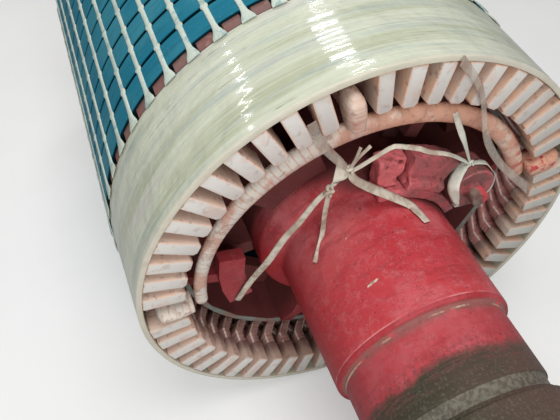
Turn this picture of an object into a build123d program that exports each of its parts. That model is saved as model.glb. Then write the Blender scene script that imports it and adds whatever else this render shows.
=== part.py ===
from build123d import *
from math import cos, radians, sin
import os

# Wound rotor (armature) of a large slip-ring motor, in millimetres.
# The shaft runs along X, the origin is the middle of the core on the shaft's axis, and +Z is up.
# The near end is at +X. Angles go round the shaft from +Y towards +Z.

# Core of stacked sheet packets with air ducts between them
slots = 54
core_radius = 430
core_depth = 155
bore_sides = 24
packet_count = 12
packet_length = 51
duct_width = 10

# Wedges that close the slots
wedge_width = 14
wedge_thickness = 2.8

# Clamping of the core at each end
end_plate_thickness = 31
end_plate_step = 2
finger_thickness = 24
finger_width = 12
finger_setback = 6

# Winding overhang: two layers of bars, skewed opposite ways, joined in pairs by clips
bar_width = 22
bar_height = 30
bar_layer_gap = 7.9
bar_band_gap = 2.1
bar_straight_exit = 31
bar_skew_length = 130
bar_straight_end = 26
bar_skew_slots = 2.5
clip_shift = -0.6
clip_length = 42
clip_width = 27.5
clip_step = 3
clip_chamfer = 5

# Glass banding over the overhang
band_inset = 18
band_back_thickness = 16.5
band_front_thickness = 10.5

# Ring that supports the overhanging winding, its brackets, and the balancing pads on two of them
support_ring_length = 106
support_ring_gap = 6
support_ring_thickness = 10
bracket_thickness = 26
bracket_length = 113
bracket_overhang = 15
pad_arms = (2, 3)
pad_length = 25
pad_height = 48
pad_drop = 50
pad_low_angle = -17
pad_high_angle = 12
pad_chords = 3

# Spider arms between shaft and core
arm_count = 6
arm_angle = 7
arm_height = 89
arm_thickness = 30
arm_overhang = 66
arm_root_overhang = 118
arm_root_height = 30

# Shaft: radii and lengths of its steps from the hub outwards
hub_flare = 34
shaft_body_radius = 153
shaft_body_setback = 36
shaft_body_length = 246
shoulder_chamfer = 7
neck_radius = 141.5
neck_length = 119
groove_depth = 5
groove_length = 21
groove_to_collar = 7
collar_radius = 151
collar_length = 95
collar_edge = 8
journal_radius = 130
journal_length = 210
coupling_seat_radius = 120
coupling_seat_length = 220
end_chamfer = 6

# Star point ring at the near end, and its three taps
star_ring_drop = 12
star_ring_width = 24
star_ring_height = 33
star_ring_chamfer = 7
star_ring_setback = 21
star_ring_end = 4
star_ring_runs = 24
tap_slots = {"right": 3, "top": 15, "left": 27}
tap_width = 34
tap_reach = 10
tap_inset = 7

# Lead clamp on the shaft at the near end: a saddle, blocks that stand on it and a bolt
clamp_setback = 2
saddle_length = 44
saddle_height = 22
saddle_low_angle = 26
saddle_high_angle = 92
lug_height = 62
lug_length = 34
lug_low_angle = 79
jaw_low_angle = 52
jaw_high_angle = 77
lower_jaw_height = 22
lower_jaw_length = 50
upper_jaw_height = 42
upper_jaw_length = 38
jaw_chamfer = 6
boss_angle = 38.5
boss_radius = 42
boss_sides = 24
boss_length = 56
stub_radius = 16
stub_length = 26

# Lashing tape that holds the star ring while the resin sets
tape_width = 20
tape_thickness = 1
tape_steps = 2
tape_gap = 0.8
knot_size = 18

seat_gap = 0.3

# Sizes that follow from the ones above
slot_pitch = 360 / slots
core_length = packet_count * packet_length + (packet_count - 1) * duct_width
core_end = core_length / 2
end_plate_end = core_end + end_plate_thickness
bar_end = core_end + bar_straight_exit + bar_skew_length + bar_straight_end
winding_end = bar_end + clip_length

flat_radius = core_radius * cos(radians(slot_pitch / 2))
bore_radius = core_radius - core_depth
hub_radius = bore_radius - arm_height
bore_flat_radius = bore_radius * cos(radians(180 / bore_sides))
bore_turn = arm_angle - 180 / bore_sides
band_inner_radius = core_radius - band_inset
upper_bar_radius = band_inner_radius - bar_band_gap - bar_height / 2
lower_bar_radius = upper_bar_radius - bar_height - bar_layer_gap
clip_outer_radius = band_inner_radius - seat_gap
clip_inner_radius = lower_bar_radius - bar_height / 2 - clip_step
support_ring_radius = lower_bar_radius - bar_height / 2 - support_ring_gap
support_flat_radius = (support_ring_radius - support_ring_thickness) * cos(radians(180 / bore_sides))
end_plate_radius = support_ring_radius + end_plate_step
finger_tip_radius = core_radius - finger_setback
star_ring_radius = clip_inner_radius - star_ring_drop - star_ring_height / 2
star_ring_station = winding_end - star_ring_setback

shaft_body_start = winding_end - shaft_body_setback
shaft_body_end = shaft_body_start + shaft_body_length
groove_start = shaft_body_end + neck_length
groove_end = groove_start + groove_length
collar_start = groove_end + groove_to_collar
journal_start = collar_start + collar_length
journal_end = journal_start + journal_length
shaft_end = journal_end + coupling_seat_length


os.makedirs("parts", exist_ok=True)


def turned(angles):
    """Places turned about the plane's origin by each angle."""
    return [Location((0, 0, 0), (0, 0, angle)) for angle in angles]


def cross_plane(start, length, side):
    """Plane across the shaft where a piece of this length starts, so that it grows towards +X."""
    return Plane.YZ.offset(start if side > 0 else -start - length)


def core_packet(number):
    """One packet of core sheets: a ring with one flat for each slot and flats in its bore for the arms."""
    start = -core_end + number * (packet_length + duct_width)
    with BuildPart() as packet:
        with BuildSketch(Plane.YZ.offset(start)):
            RegularPolygon(core_radius, slots)
            RegularPolygon(bore_radius, bore_sides, rotation=bore_turn, mode=Mode.SUBTRACT)
        extrude(amount=packet_length)
    return packet


def end_plate(side):
    """Thick ring that clamps the core below the slots."""
    with BuildPart() as plate:
        with BuildSketch(cross_plane(core_end, end_plate_thickness, side)):
            RegularPolygon(end_plate_radius, slots)
            RegularPolygon(bore_radius, bore_sides, rotation=bore_turn, mode=Mode.SUBTRACT)
        extrude(amount=end_plate_thickness)
    return plate


def tooth_fingers(side):
    """Fingers that stand on the end plate and press on the core's teeth between the bars."""
    finger_height = finger_tip_radius - end_plate_radius
    with BuildPart() as fingers:
        with BuildSketch(cross_plane(core_end, finger_thickness, side)):
            with PolarLocations(end_plate_radius + finger_height / 2, slots):
                Rectangle(finger_height, finger_width)
        extrude(amount=finger_thickness)
    return fingers


def shaft_profile():
    """Station and radius of each corner on the near half of the shaft."""
    return [
        (0, 0),
        (0, hub_radius),
        (shaft_body_start - hub_flare, hub_radius),
        (shaft_body_start, shaft_body_radius),
        (shaft_body_end, shaft_body_radius),
        (shaft_body_end, neck_radius),
        (groove_start, neck_radius),
        (groove_start, neck_radius - groove_depth),
        (groove_end, neck_radius - groove_depth),
        (groove_end, neck_radius),
        (collar_start, neck_radius),
        (collar_start, collar_radius),
        (journal_start, collar_radius),
        (journal_start, journal_radius),
        (journal_end, journal_radius),
        (journal_end, coupling_seat_radius),
        (shaft_end, coupling_seat_radius),
        (shaft_end, 0),
    ]


def corner_at(sketch, station, radius):
    """The corner of a profile that lies at one station and radius."""
    return [v for v in sketch.vertices() if abs(v.X - station) < 0.01 and abs(v.Y - radius) < 0.01]


def arm_profile():
    """Corners of one arm: it fills the core's bore and tapers down to the shaft past the end plates."""
    root_end = core_end + arm_root_overhang
    top_end = core_end + arm_overhang
    root_radius = hub_radius + arm_root_height
    return [
        (-root_end, 0),
        (-root_end, root_radius),
        (-top_end, bore_flat_radius),
        (top_end, bore_flat_radius),
        (root_end, root_radius),
        (root_end, 0),
    ]


def arm_taper_station(radius):
    """Station on the arm's tapered end at a radius."""
    fall = bore_flat_radius - hub_radius - arm_root_height
    return core_end + arm_overhang + (arm_root_overhang - arm_overhang) * (bore_flat_radius - radius) / fall


def around_shaft(plate):
    """Copies of a plate that stands above the shaft, one at each arm."""
    return [plate.rotate(Axis.X, arm_angle + arm * 360 / arm_count - 90) for arm in range(arm_count)]


def support_ring(side):
    """Ring under the overhanging bars."""
    with BuildPart() as ring:
        with BuildSketch(cross_plane(end_plate_end, support_ring_length, side)):
            RegularPolygon(support_ring_radius, slots)
            RegularPolygon(support_flat_radius, bore_sides, False, rotation=bore_turn, mode=Mode.SUBTRACT)
        extrude(amount=support_ring_length)
    return ring


def sector(low_radius, height, low_angle, high_angle):
    """Block's outline across the shaft: two straight sides between an inner and an outer arc."""
    high_radius = low_radius + height
    span = high_angle - low_angle
    with BuildSketch() as outline:
        with BuildLine():
            low = CenterArc((0, 0), low_radius, low_angle, span)
            high = CenterArc((0, 0), high_radius, low_angle, span)
            Line(low @ 0, high @ 0)
            Line(low @ 1, high @ 1)
        make_face()
    return outline.sketch


def chord_corners(radius, low_angle, high_angle, chords):
    """Corners of straight chords along an arc."""
    steps = [low_angle + (high_angle - low_angle) * step / chords for step in range(chords + 1)]
    return [(radius * cos(radians(angle)), radius * sin(radians(angle))) for angle in steps]


def ring_brackets(side):
    """Plates that carry the support ring on the arms; two at the near end have a balancing pad."""
    pad_radius = bore_flat_radius - pad_drop
    pad_start = end_plate_end + bracket_length + bracket_overhang
    corners = (
        (end_plate_end, support_flat_radius),
        (end_plate_end, bore_flat_radius),
        (arm_taper_station(bore_flat_radius), bore_flat_radius),
        (arm_taper_station(pad_radius), pad_radius),
        (pad_start, pad_radius),
        (pad_start, pad_radius + pad_height),
        (end_plate_end + bracket_length, support_flat_radius),
    )
    with BuildPart() as bracket:
        with BuildSketch(Plane.XZ):
            with BuildLine():
                Polyline([(side * station, radius) for station, radius in corners], close=True)
            make_face()
        extrude(amount=bracket_thickness / 2, both=True)
    with BuildPart() as brackets:
        add(around_shaft(bracket.part))
        for arm in pad_arms if side > 0 else ():
            angle = arm_angle + arm * 360 / arm_count
            corners = chord_corners(pad_radius, angle + pad_low_angle, angle + pad_high_angle, pad_chords)
            pad_top = pad_radius + pad_height
            corners += chord_corners(pad_top, angle + pad_high_angle, angle + pad_low_angle, pad_chords)
            with BuildSketch(Plane.YZ.offset(pad_start)):
                with BuildLine():
                    Polyline(corners, close=True)
                make_face()
            extrude(amount=pad_length)
    return brackets


def winding_bars(radius, skew, straight_end, side):
    """One layer of the overhang: bars that leave the slots straight, run skewed and may end straight."""
    slot_angle = slot_pitch / 2
    clip_angle = slot_angle - skew * bar_skew_slots * slot_pitch + clip_shift
    tilt = radians((slot_angle + clip_angle) / 2)
    stops = [(core_end, slot_angle), (core_end + bar_straight_exit, slot_angle), (bar_end, clip_angle)]
    if straight_end:
        stops.insert(2, (bar_end - straight_end, clip_angle))
    with BuildPart() as bar:
        for station, degrees in stops:
            angle = radians(degrees)
            place = Plane(
                origin=(radius * cos(angle), radius * sin(angle), side * station),
                x_dir=(cos(tilt), sin(tilt), 0),
                z_dir=(0, 0, 1),
            )
            with BuildSketch(place):
                Rectangle(bar_height, bar_width)
        loft(ruled=True)
    with BuildPart(Plane.YZ) as bars:
        with PolarLocations(0, slots):
            add(bar.part)
    return bars


def clip_angles(side):
    """Angles of the clips: one for each slot, less the taps at the near end."""
    left_out = tap_slots.values() if side > 0 else ()
    return [slot * slot_pitch + clip_shift for slot in range(slots) if slot not in left_out]


with BuildSketch(Plane.XY) as clip_face:
    with Locations(((clip_inner_radius + clip_outer_radius) / 2, 0)):
        Rectangle(clip_outer_radius - clip_inner_radius, clip_width)
    chamfer(clip_face.vertices().group_by(Axis.X)[0], clip_chamfer)


def bar_clips(side):
    """Copper clips that join the lower and upper bars in pairs."""
    with BuildPart() as clips:
        with BuildSketch(cross_plane(bar_end, clip_length, side)):
            with Locations(*turned(clip_angles(side))):
                add(clip_face.sketch)
        extrude(amount=clip_length)
    return clips


def banding(side):
    """Band wound over the upper bars, with a flat over each clip and thinner at its open edge."""
    turn = slot_pitch / 2 + clip_shift
    ends = (
        (end_plate_end, band_inner_radius + band_back_thickness),
        (winding_end, band_inner_radius + band_front_thickness),
    )
    with BuildPart() as band:
        for station, radius in ends:
            with BuildSketch(Plane.YZ.offset(side * station)):
                RegularPolygon(radius, slots, rotation=turn)
        loft(ruled=True)
        with BuildSketch(cross_plane(end_plate_end, winding_end - end_plate_end, side)):
            RegularPolygon(band_inner_radius, slots, major_radius=False, rotation=turn)
        extrude(amount=winding_end - end_plate_end, mode=Mode.SUBTRACT)
    return band


with BuildPart() as shaft:
    with BuildSketch(Plane.XY) as half_section:
        with BuildLine():
            Polyline(*shaft_profile(), close=True)
        make_face()
        chamfer(corner_at(half_section.sketch, shaft_body_end, shaft_body_radius), shoulder_chamfer)
        chamfer(corner_at(half_section.sketch, collar_start, collar_radius), collar_edge)
        chamfer(corner_at(half_section.sketch, shaft_end, coupling_seat_radius), end_chamfer)
    revolve(axis=Axis.X)
    mirror(about=Plane.YZ)
shaft.part.label = "shaft"
export_step(shaft.part, "parts/shaft.step")

with BuildPart() as arm:
    with BuildSketch(Plane.XZ):
        with BuildLine():
            Polyline(*arm_profile(), close=True)
        make_face()
    extrude(amount=arm_thickness / 2, both=True)
    Cylinder(hub_radius, 2 * shaft_end, rotation=(0, 90, 0), mode=Mode.SUBTRACT)

with BuildPart() as spider_arms:
    add(around_shaft(arm.part))
spider_arms.part.label = "spider_arms"
export_step(spider_arms.part, "parts/spider_arms.step")

for number in range(packet_count):
    packet = core_packet(number)
    name = f"core_packet_{number + 1:02d}"
    packet.part.label = name
    export_step(packet.part, f"parts/{name}.step")

with BuildPart() as slot_wedges:
    with BuildSketch(Plane.YZ.offset(-end_plate_end)):
        with PolarLocations(flat_radius + wedge_thickness / 2, slots, start_angle=slot_pitch / 2):
            Rectangle(wedge_thickness, wedge_width)
    extrude(amount=2 * end_plate_end)
slot_wedges.part.label = "slot_wedges"
export_step(slot_wedges.part, "parts/slot_wedges.step")

for end, side in (("near", 1), ("far", -1)):
    end_pieces = {
        "end_plate": end_plate(side),
        "tooth_fingers": tooth_fingers(side),
        "support_ring": support_ring(side),
        "ring_brackets": ring_brackets(side),
        "lower_bars": winding_bars(lower_bar_radius, 1, bar_straight_end, side),
        "upper_bars": winding_bars(upper_bar_radius, -1, 0, side),
        "bar_clips": bar_clips(side),
        "banding": banding(side),
    }
    for kind, piece in end_pieces.items():
        piece.part.label = f"{kind}_{end}"
        export_step(piece.part, f"parts/{kind}_{end}.step")

# Star ring: a taped bar bent in short runs round the shaft from the first tap to the last
first_tap = tap_slots["right"] * slot_pitch + clip_shift
last_tap = tap_slots["left"] * slot_pitch + clip_shift
run_angle = (last_tap - first_tap + 2 * star_ring_end) / star_ring_runs
with BuildSketch(Plane.XY) as star_ring_section:
    with Locations((star_ring_station, star_ring_radius)):
        Rectangle(star_ring_width, star_ring_height)
    chamfer(star_ring_section.vertices(), star_ring_chamfer)
with BuildPart() as star_ring:
    bends = [first_tap - star_ring_end + bend * run_angle for bend in range(star_ring_runs + 1)]
    loft([star_ring_section.sketch.rotate(Axis.X, angle) for angle in bends], ruled=True)
star_ring.part.label = "star_ring"
export_step(star_ring.part, "parts/star_ring.step")

# Taped taps that join the winding to the star ring
tap_foot = star_ring_radius + star_ring_height / 2 + seat_gap
for tap_name, slot in tap_slots.items():
    with BuildPart() as tap:
        with BuildSketch(Plane.YZ.offset(bar_end)):
            with Locations(*turned([slot * slot_pitch + clip_shift])):
                with Locations(((tap_foot + clip_outer_radius - tap_inset) / 2, 0)):
                    Rectangle(clip_outer_radius - tap_inset - tap_foot + tap_width, tap_width)
            Circle(tap_foot, mode=Mode.SUBTRACT)
            Circle(clip_outer_radius, mode=Mode.INTERSECT)
        extrude(amount=clip_length + tap_reach)
    tap.part.label = f"star_tap_{tap_name}"
    export_step(tap.part, f"parts/star_tap_{tap_name}.step")


# Saddle of the lead clamp, bedded on the shaft's body
clamp_start = shaft_body_start + clamp_setback
clamp_plane = Plane.YZ.offset(clamp_start)
saddle_radius = shaft_body_radius + seat_gap
with BuildPart() as lead_clamp_base:
    with BuildSketch(clamp_plane):
        add(sector(saddle_radius, saddle_height, saddle_low_angle, saddle_high_angle))
    extrude(amount=saddle_length)
lead_clamp_base.part.label = "lead_clamp_base"
export_step(lead_clamp_base.part, "parts/lead_clamp_base.step")

# Lug at the top of the saddle, and two jaws stacked beside it
block_radius = saddle_radius + saddle_height + seat_gap
upper_jaw_radius = block_radius + lower_jaw_height + seat_gap
blocks = (
    (block_radius, lug_height, lug_low_angle, saddle_high_angle, lug_length),
    (block_radius, lower_jaw_height, jaw_low_angle, jaw_high_angle, lower_jaw_length),
    (upper_jaw_radius, upper_jaw_height, jaw_low_angle, jaw_high_angle, upper_jaw_length),
)
with BuildPart() as lead_clamp_jaws:
    for low_radius, height, low_angle, high_angle, length in blocks:
        with BuildSketch(clamp_plane):
            add(sector(low_radius, height, low_angle, high_angle))
        extrude(amount=length)
        front = lead_clamp_jaws.faces(Select.LAST).sort_by(Axis.X)[-1]
        chamfer(front.edges().filter_by(GeomType.CIRCLE).sort_by(SortBy.RADIUS)[-1], jaw_chamfer)
lead_clamp_jaws.part.label = "lead_clamp_jaws"
export_step(lead_clamp_jaws.part, "parts/lead_clamp_jaws.step")

# Bolt boss that rests on the saddle, with its stub towards the near end
with BuildPart() as lead_clamp_bolt:
    for radius, length in ((boss_radius, boss_length), (stub_radius, boss_length + stub_length)):
        with BuildSketch(clamp_plane):
            with Locations(*turned([boss_angle])):
                with Locations((block_radius + boss_radius, 0)):
                    RegularPolygon(radius, boss_sides)
        extrude(amount=length)
lead_clamp_bolt.part.label = "lead_clamp_bolt"
export_step(lead_clamp_bolt.part, "parts/lead_clamp_bolt.step")


def ribbon(stops, width, facing):
    """Tape through stops of station, radius and angle; it lies flat to the shaft or faces the near end."""
    path = []
    for low, high in zip(stops, stops[1:]):
        for step in range(tape_steps):
            part_way = step / tape_steps
            path.append([a + (b - a) * part_way for a, b in zip(low, high)])
    path.append(stops[-1])
    points = [Vector(x, r * cos(radians(angle)), r * sin(radians(angle))) for x, r, angle in path]
    with BuildPart() as tape:
        for number, point in enumerate(points):
            along = points[min(number + 1, len(points) - 1)] - points[max(number - 1, 0)]
            angle = radians(path[number][2])
            normal = Vector(1, 0, 0) if facing == "near end" else Vector(0, cos(angle), sin(angle))
            with BuildSketch(Plane(origin=point, x_dir=along.cross(normal), z_dir=along)):
                Rectangle(width, tape_thickness)
        loft(ruled=True)
    return tape.part


# Lashings: from the star ring to a knot, over the clamp to its bolt boss, and tails on the shaft
ring_front = star_ring_station + star_ring_width / 2 + tape_gap
clip_front = winding_end + tape_gap
tap_front = clip_front + tap_reach
boss_centre = block_radius + boss_radius
loop_radius = boss_radius + tape_gap
block_top = upper_jaw_radius + upper_jaw_height + 2 * tape_gap
on_shaft = shaft_body_radius + 2 * tape_gap
saddle_front = clamp_start + saddle_length + 2 * tape_gap
ring = star_ring_radius
knot = (ring_front + 5, ring - 54, 105)
boss_knot = (saddle_front, boss_centre + 31, 50)
lashings = (
    (1.1, "near end", [(ring_front, ring + 12, 104), (ring_front, ring - 16, 104), knot]),
    (0.5, "shaft", [knot, (ring_front, block_top, 93), (ring_front, block_top, 79), boss_knot]),
    (0.5, "near end", [(ring_front, ring + 8, 66), boss_knot]),
    (1, "shaft", [knot, (saddle_front + 14, on_shaft + 50, 97), (saddle_front + 12, on_shaft, 86)]),
    (1, "shaft", [(saddle_front + 12, on_shaft, 86), (saddle_front + 56, on_shaft, 64)]),
    (0.6, "shaft", [knot, (saddle_front - 6, on_shaft + 45, 117), (saddle_front - 12, on_shaft + 1, 128)]),
    (0.6, "shaft", [(saddle_front - 12, on_shaft + 1, 128), (saddle_front + 30, on_shaft, 144)]),
    (0.5, "shaft", [knot, (clamp_start + 14, on_shaft + 26, 140), (clamp_start + 4, on_shaft + 28, 171)]),
    (0.5, "shaft", [(clamp_start + 4, on_shaft + 28, 171), (clamp_start - 8, on_shaft + 95, 199)]),
    (0.7, "near end", [(clip_front, ring + 70, 70), (clip_front, ring + 20, 62), (tap_front, ring - 26, 48)]),
    (0.7, "near end", [(tap_front, ring - 26, 48), (tap_front, ring + 10, 16)]),
)
with BuildPart() as lashing_tapes:
    for share, facing, stops in lashings:
        add(ribbon(stops, tape_width * share, facing))
    for station, radius, angle in (knot, boss_knot):
        with Locations((station, radius * cos(radians(angle)), radius * sin(radians(angle)))):
            Box(knot_size, knot_size, knot_size)
    with BuildSketch(Plane.YZ.offset(saddle_front)):
        with Locations(*turned([boss_angle])):
            with Locations((boss_centre, 0)):
                RegularPolygon(loop_radius + tape_thickness, boss_sides)
                RegularPolygon(loop_radius, boss_sides, mode=Mode.SUBTRACT)
    extrude(amount=tape_width / 2)
lashing_tapes.part.label = "lashing_tapes"
export_step(lashing_tapes.part, "parts/lashing_tapes.step")
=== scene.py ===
import math

import bmesh
import bpy
import numpy as np
from bpy.props import FloatProperty, FloatVectorProperty, IntProperty, PointerProperty
from mathutils import Matrix, Vector


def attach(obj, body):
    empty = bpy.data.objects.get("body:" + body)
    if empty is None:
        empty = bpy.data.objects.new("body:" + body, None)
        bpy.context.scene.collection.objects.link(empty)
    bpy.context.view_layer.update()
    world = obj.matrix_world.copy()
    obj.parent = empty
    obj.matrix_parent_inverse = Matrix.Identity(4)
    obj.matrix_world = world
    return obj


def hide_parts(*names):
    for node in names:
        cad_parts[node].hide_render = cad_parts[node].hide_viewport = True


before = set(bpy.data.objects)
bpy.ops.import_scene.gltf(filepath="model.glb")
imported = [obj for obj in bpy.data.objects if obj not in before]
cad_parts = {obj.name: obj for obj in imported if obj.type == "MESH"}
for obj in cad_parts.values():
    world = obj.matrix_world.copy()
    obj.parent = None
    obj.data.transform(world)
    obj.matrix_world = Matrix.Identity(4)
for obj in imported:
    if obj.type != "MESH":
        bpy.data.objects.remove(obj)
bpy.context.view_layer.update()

# Looks of a wound rotor: blue ducted core, glass banding, bar clips and a red spider on its shaft.
# Lengths are metres. The shaft runs along X and angles go round it from +Y towards +Z.

bl_info = {
    "name": "Wound rotor",
    "version": (1, 0, 0),
    "blender": (4, 5, 0),
    "location": "3D View > Sidebar > Rotor",
    "description": "Builds the visible pieces and finishes of a wound motor rotor around its frame",
    "category": "Object",
}


def tone(red, green, blue):
    """Linear colour of a paint sample in 0 to 255.

    With c its share of 255: ((c + 0.055) / 1.055) ** 2.4 above the toe and c / 12.92 in it.
    """
    shares = (red / 255, green / 255, blue / 255)
    return tuple(((c + 0.055) / 1.055) ** 2.4 if c > 0.04 else c / 12.92 for c in shares)


def vertex_values(mesh, key):
    """Places ("co") or normals ("normal") of a mesh's vertices, as an array (n, 3)."""
    values = np.empty(len(mesh.vertices) * 3)
    mesh.vertices.foreach_get(key, values)
    return values.reshape(-1, 3)


def node_range(name):
    """Low and high corner of a frame node, as two arrays."""
    points = vertex_values(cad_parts[name].data, "co")
    return points.min(0), points.max(0)


def node_radii(name):
    """Distances from the shaft's axis of a frame node's corners."""
    points = vertex_values(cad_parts[name].data, "co")
    return np.hypot(points[:, 1], points[:, 2])


CORE_END = float(node_range("core_packet_12")[1][0])
PLATE_END = float(node_range("end_plate_near")[1][0])
SUPPORT_END = float(node_range("support_ring_near")[1][0])
BAR_END = float(node_range("bar_clips_near")[0][0])
WINDING_END = float(node_range("bar_clips_near")[1][0])
CORE_RADIUS = float(node_radii("core_packet_01").max())
BORE_RADIUS = float(node_radii("core_packet_01").min())
CLIP_INNER = float(node_radii("bar_clips_near").min())
CLIP_OUTER = float(node_radii("bar_clips_near").max())
BAND_INNER = CLIP_OUTER + 0.0001
BAND_TAPER = 0.006
BAND_TAPE_STEP = 0.020
STUB_END = float(node_range("lead_clamp_bolt")[1][0])
STUB_START = STUB_END - 0.020

# Ends of the rotor, packets of the core, and counts of sides and of points a slot pitch
ENDS = (("near", 1), ("far", -1))
PACKETS = 12
BORE_SIDES = 24
POINTS_A_PITCH = 6
RING_SIDES = 432
BAND_SIDES = 540

# Core: the share of a pitch that a tooth takes on either side, and how far its skin lies inside the frame's
TOOTH_SHARE = 0.36
TOOTH_SINK = 0.0001
SLOT_SINK = 0.0009
PACKET_CHAMFER = 0.0007
RING_CHAMFER = 0.0025

# Wedges: heights, and half lengths of a knob at its top and foot
WEDGE_HEIGHT = 0.0021
KNOB_HEIGHT = 0.0028
KNOB_TOP = 0.0020
KNOB_FOOT = 0.0070

ARM_ANGLE = math.radians(7)
TAP_SLOTS = {"right": 3, "top": 15, "left": 27}

# The winding: bars leave the slots straight, run skewed and end straight, and clips sit a little back
STRAIGHT_EXIT = 0.031
STRAIGHT_END = 0.026
SKEW_SLOTS = 2.5
CLIP_SHIFT = math.radians(-0.6)
BAR_CORNER = 0.003
BAR_STATIONS = {"lower": 70, "upper": 24}
BEND_EASE = 0.03
TROUGH_SHARE = 0.955
FINGER_DEPTH = 0.024
FINGER_WIDTH = 0.012
FINGER_HEAD = 0.014
FINGER_HEAD_WIDTH = 0.031
RING_TAPE_STEP = 0.012
RING_LAP = math.radians(4)
RING_STATIONS = 420
TAP_STATIONS = 26

# The clamp's boss: its place, and how far the tape round it lies from its middle
BOSS_RADIUS = 0.2176
BOSS_ANGLE = math.radians(38.5)
BOSS_GAP = 0.0446

# The way that hanging tapes face
TAPE_FACING = np.array([0.6, -0.23, 0.77])

# Stations of the shaft's steps
SHOULDER = 0.793
BODY_END = 0.800
GROOVE_START = 0.919
GROOVE_END = 0.940

# Reference view in pixels and millimetres, and the place, bearing round Z and rise of its camera
FRAME_WIDTH = 560
FRAME_HEIGHT = 420
LENS = 38.65
SENSOR = 36
CAMERA_PLACE = np.array([1.14402, -0.37826, 0.89308])
CAMERA_BEARING = math.radians(-20.4254)
CAMERA_RISE = math.radians(49.6081)

# Streaks of gloss on the band, each from one place in the frame to another, in pixels
LEFT_STREAK = ((240, 64), (251, 130))
TOP_STREAK = ((324, 47), (349, 40))
THIN_STREAK = ((349, 67), (388, 79))
FAR_STREAK = ((307, 5), (324, 4))
SMALL_STREAK = ((317, 27), (327, 24))

# The band as a mirror: its radius, and how far its normal leans along X and round the shaft at two places
MIRROR_RADIUS = 0.4252
LEFT_LEAN = (0.0271, 0.0052)
TOP_LEAN = (0.0216, 0.0001)
WINDOW_REACH = 3

X_AXIS = np.array([1.0, 0, 0])
FLOOR_TOP = -0.432
FLOOR_REACH = 9

# Strength of the world where it lights and where it is seen, and the share between them for gloss
WORLD_LIGHT = 0.21
WORLD_SEEN = 0.92
WORLD_GLOSS_SHARE = 0.25


class RotorSizes(bpy.types.PropertyGroup):
    slots: IntProperty(name="Slots", description="Slots round the core", default=54, min=12)
    wedge_width: FloatProperty(
        name="Wedge width", description="Width of a slot wedge", default=0.0095, unit="LENGTH"
    )
    knob_width: FloatProperty(
        name="Knob width", description="Width of a wedge at a duct", default=0.0140, unit="LENGTH"
    )
    flare_width: FloatProperty(
        name="Flare width", description="Width of a wedge's end", default=0.024, unit="LENGTH"
    )
    bar_width: FloatProperty(
        name="Bar width", description="Width of a taped bar", default=0.022, unit="LENGTH"
    )
    bar_height: FloatProperty(
        name="Bar height", description="Radial height of a taped bar", default=0.030, unit="LENGTH"
    )
    tape_step: FloatProperty(
        name="Tape step", description="Length of one turn of tape", default=0.011, unit="LENGTH"
    )
    clip_width: FloatProperty(
        name="Clip width", description="Width of a bar clip", default=0.0268, unit="LENGTH"
    )
    clip_lean: FloatProperty(
        name="Clip lean", description="Largest lean of a clip", default=math.radians(1.6), subtype="ANGLE"
    )
    tape_width: FloatProperty(
        name="Lashing width", description="Width of the lashing tape", default=0.020, unit="LENGTH"
    )


class RotorColours(bpy.types.PropertyGroup):
    core: FloatVectorProperty(
        name="Core paint", description="Paint on the core", subtype="COLOR", default=tone(26, 108, 130)
    )
    core_worn: FloatVectorProperty(
        name="Worn core paint", description="Paler patches on the core", subtype="COLOR",
        default=tone(56, 128, 144),
    )
    wedge: FloatVectorProperty(
        name="Wedge", description="Laminate of the wedges", subtype="COLOR", default=tone(192, 202, 190)
    )
    band: FloatVectorProperty(
        name="Banding", description="Resin-filled glass banding", subtype="COLOR",
        default=tone(188, 192, 172),
    )
    clip: FloatVectorProperty(
        name="Clip", description="Tinned face of the clips", subtype="COLOR", default=tone(206, 203, 197)
    )
    copper: FloatVectorProperty(
        name="Copper", description="Bare copper of the clips", subtype="COLOR", default=tone(224, 184, 158)
    )
    tape: FloatVectorProperty(
        name="Bar tape", description="Varnished tape on the bars", subtype="COLOR",
        default=tone(170, 126, 118),
    )
    red: FloatVectorProperty(
        name="Red enamel", description="Enamel on spider and shaft", subtype="COLOR",
        default=tone(184, 64, 70),
    )
    steel: FloatVectorProperty(
        name="Steel", description="Bare steel of the shaft", subtype="COLOR", default=tone(76, 70, 59)
    )
    floor: FloatVectorProperty(
        name="Floor", description="Plain floor under the rotor", subtype="COLOR",
        default=tone(206, 206, 204),
    )


def sizes():
    """Sizes that the user can change."""
    return bpy.context.scene.rotor_sizes


def colours():
    """Colours that the user can change."""
    return bpy.context.scene.rotor_colours


def pitch():
    """Angle from one slot to the next."""
    return 2 * math.pi / sizes().slots


def tap_angle(name):
    """Angle of a tap of the star ring, which takes the place of a clip."""
    return TAP_SLOTS[name] * pitch() + CLIP_SHIFT


# Meshes


def mesh_piece(name, points, faces, uv=None, tags=None, smooth=True):
    """Mesh object from points (n, 3), four-cornered faces (m, 4), corner UVs (m, 4, 2) and face tags."""
    mesh = bpy.data.meshes.new(name)
    points = np.asarray(points, dtype=np.float32).reshape(-1, 3)
    faces = np.asarray(faces, dtype=np.int32).reshape(-1, 4)
    mesh.vertices.add(len(points))
    mesh.vertices.foreach_set("co", points.ravel())
    mesh.loops.add(faces.size)
    mesh.loops.foreach_set("vertex_index", faces.ravel())
    mesh.polygons.add(len(faces))
    mesh.polygons.foreach_set("loop_start", np.arange(0, faces.size, 4, dtype=np.int32))
    mesh.update(calc_edges=True)
    if uv is not None:
        layer = mesh.uv_layers.new(name="surface")
        layer.uv.foreach_set("vector", np.asarray(uv, dtype=np.float32).ravel())
    for key, values in (tags or {}).items():
        attribute = mesh.attributes.new(key, "FLOAT", "FACE")
        attribute.data.foreach_set("value", np.asarray(values, dtype=np.float32).ravel())
    mesh.polygons.foreach_set("use_smooth", np.full(len(faces), smooth))
    mesh.validate()
    piece = bpy.data.objects.new(name, mesh)
    bpy.context.scene.collection.objects.link(piece)
    return piece


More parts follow.
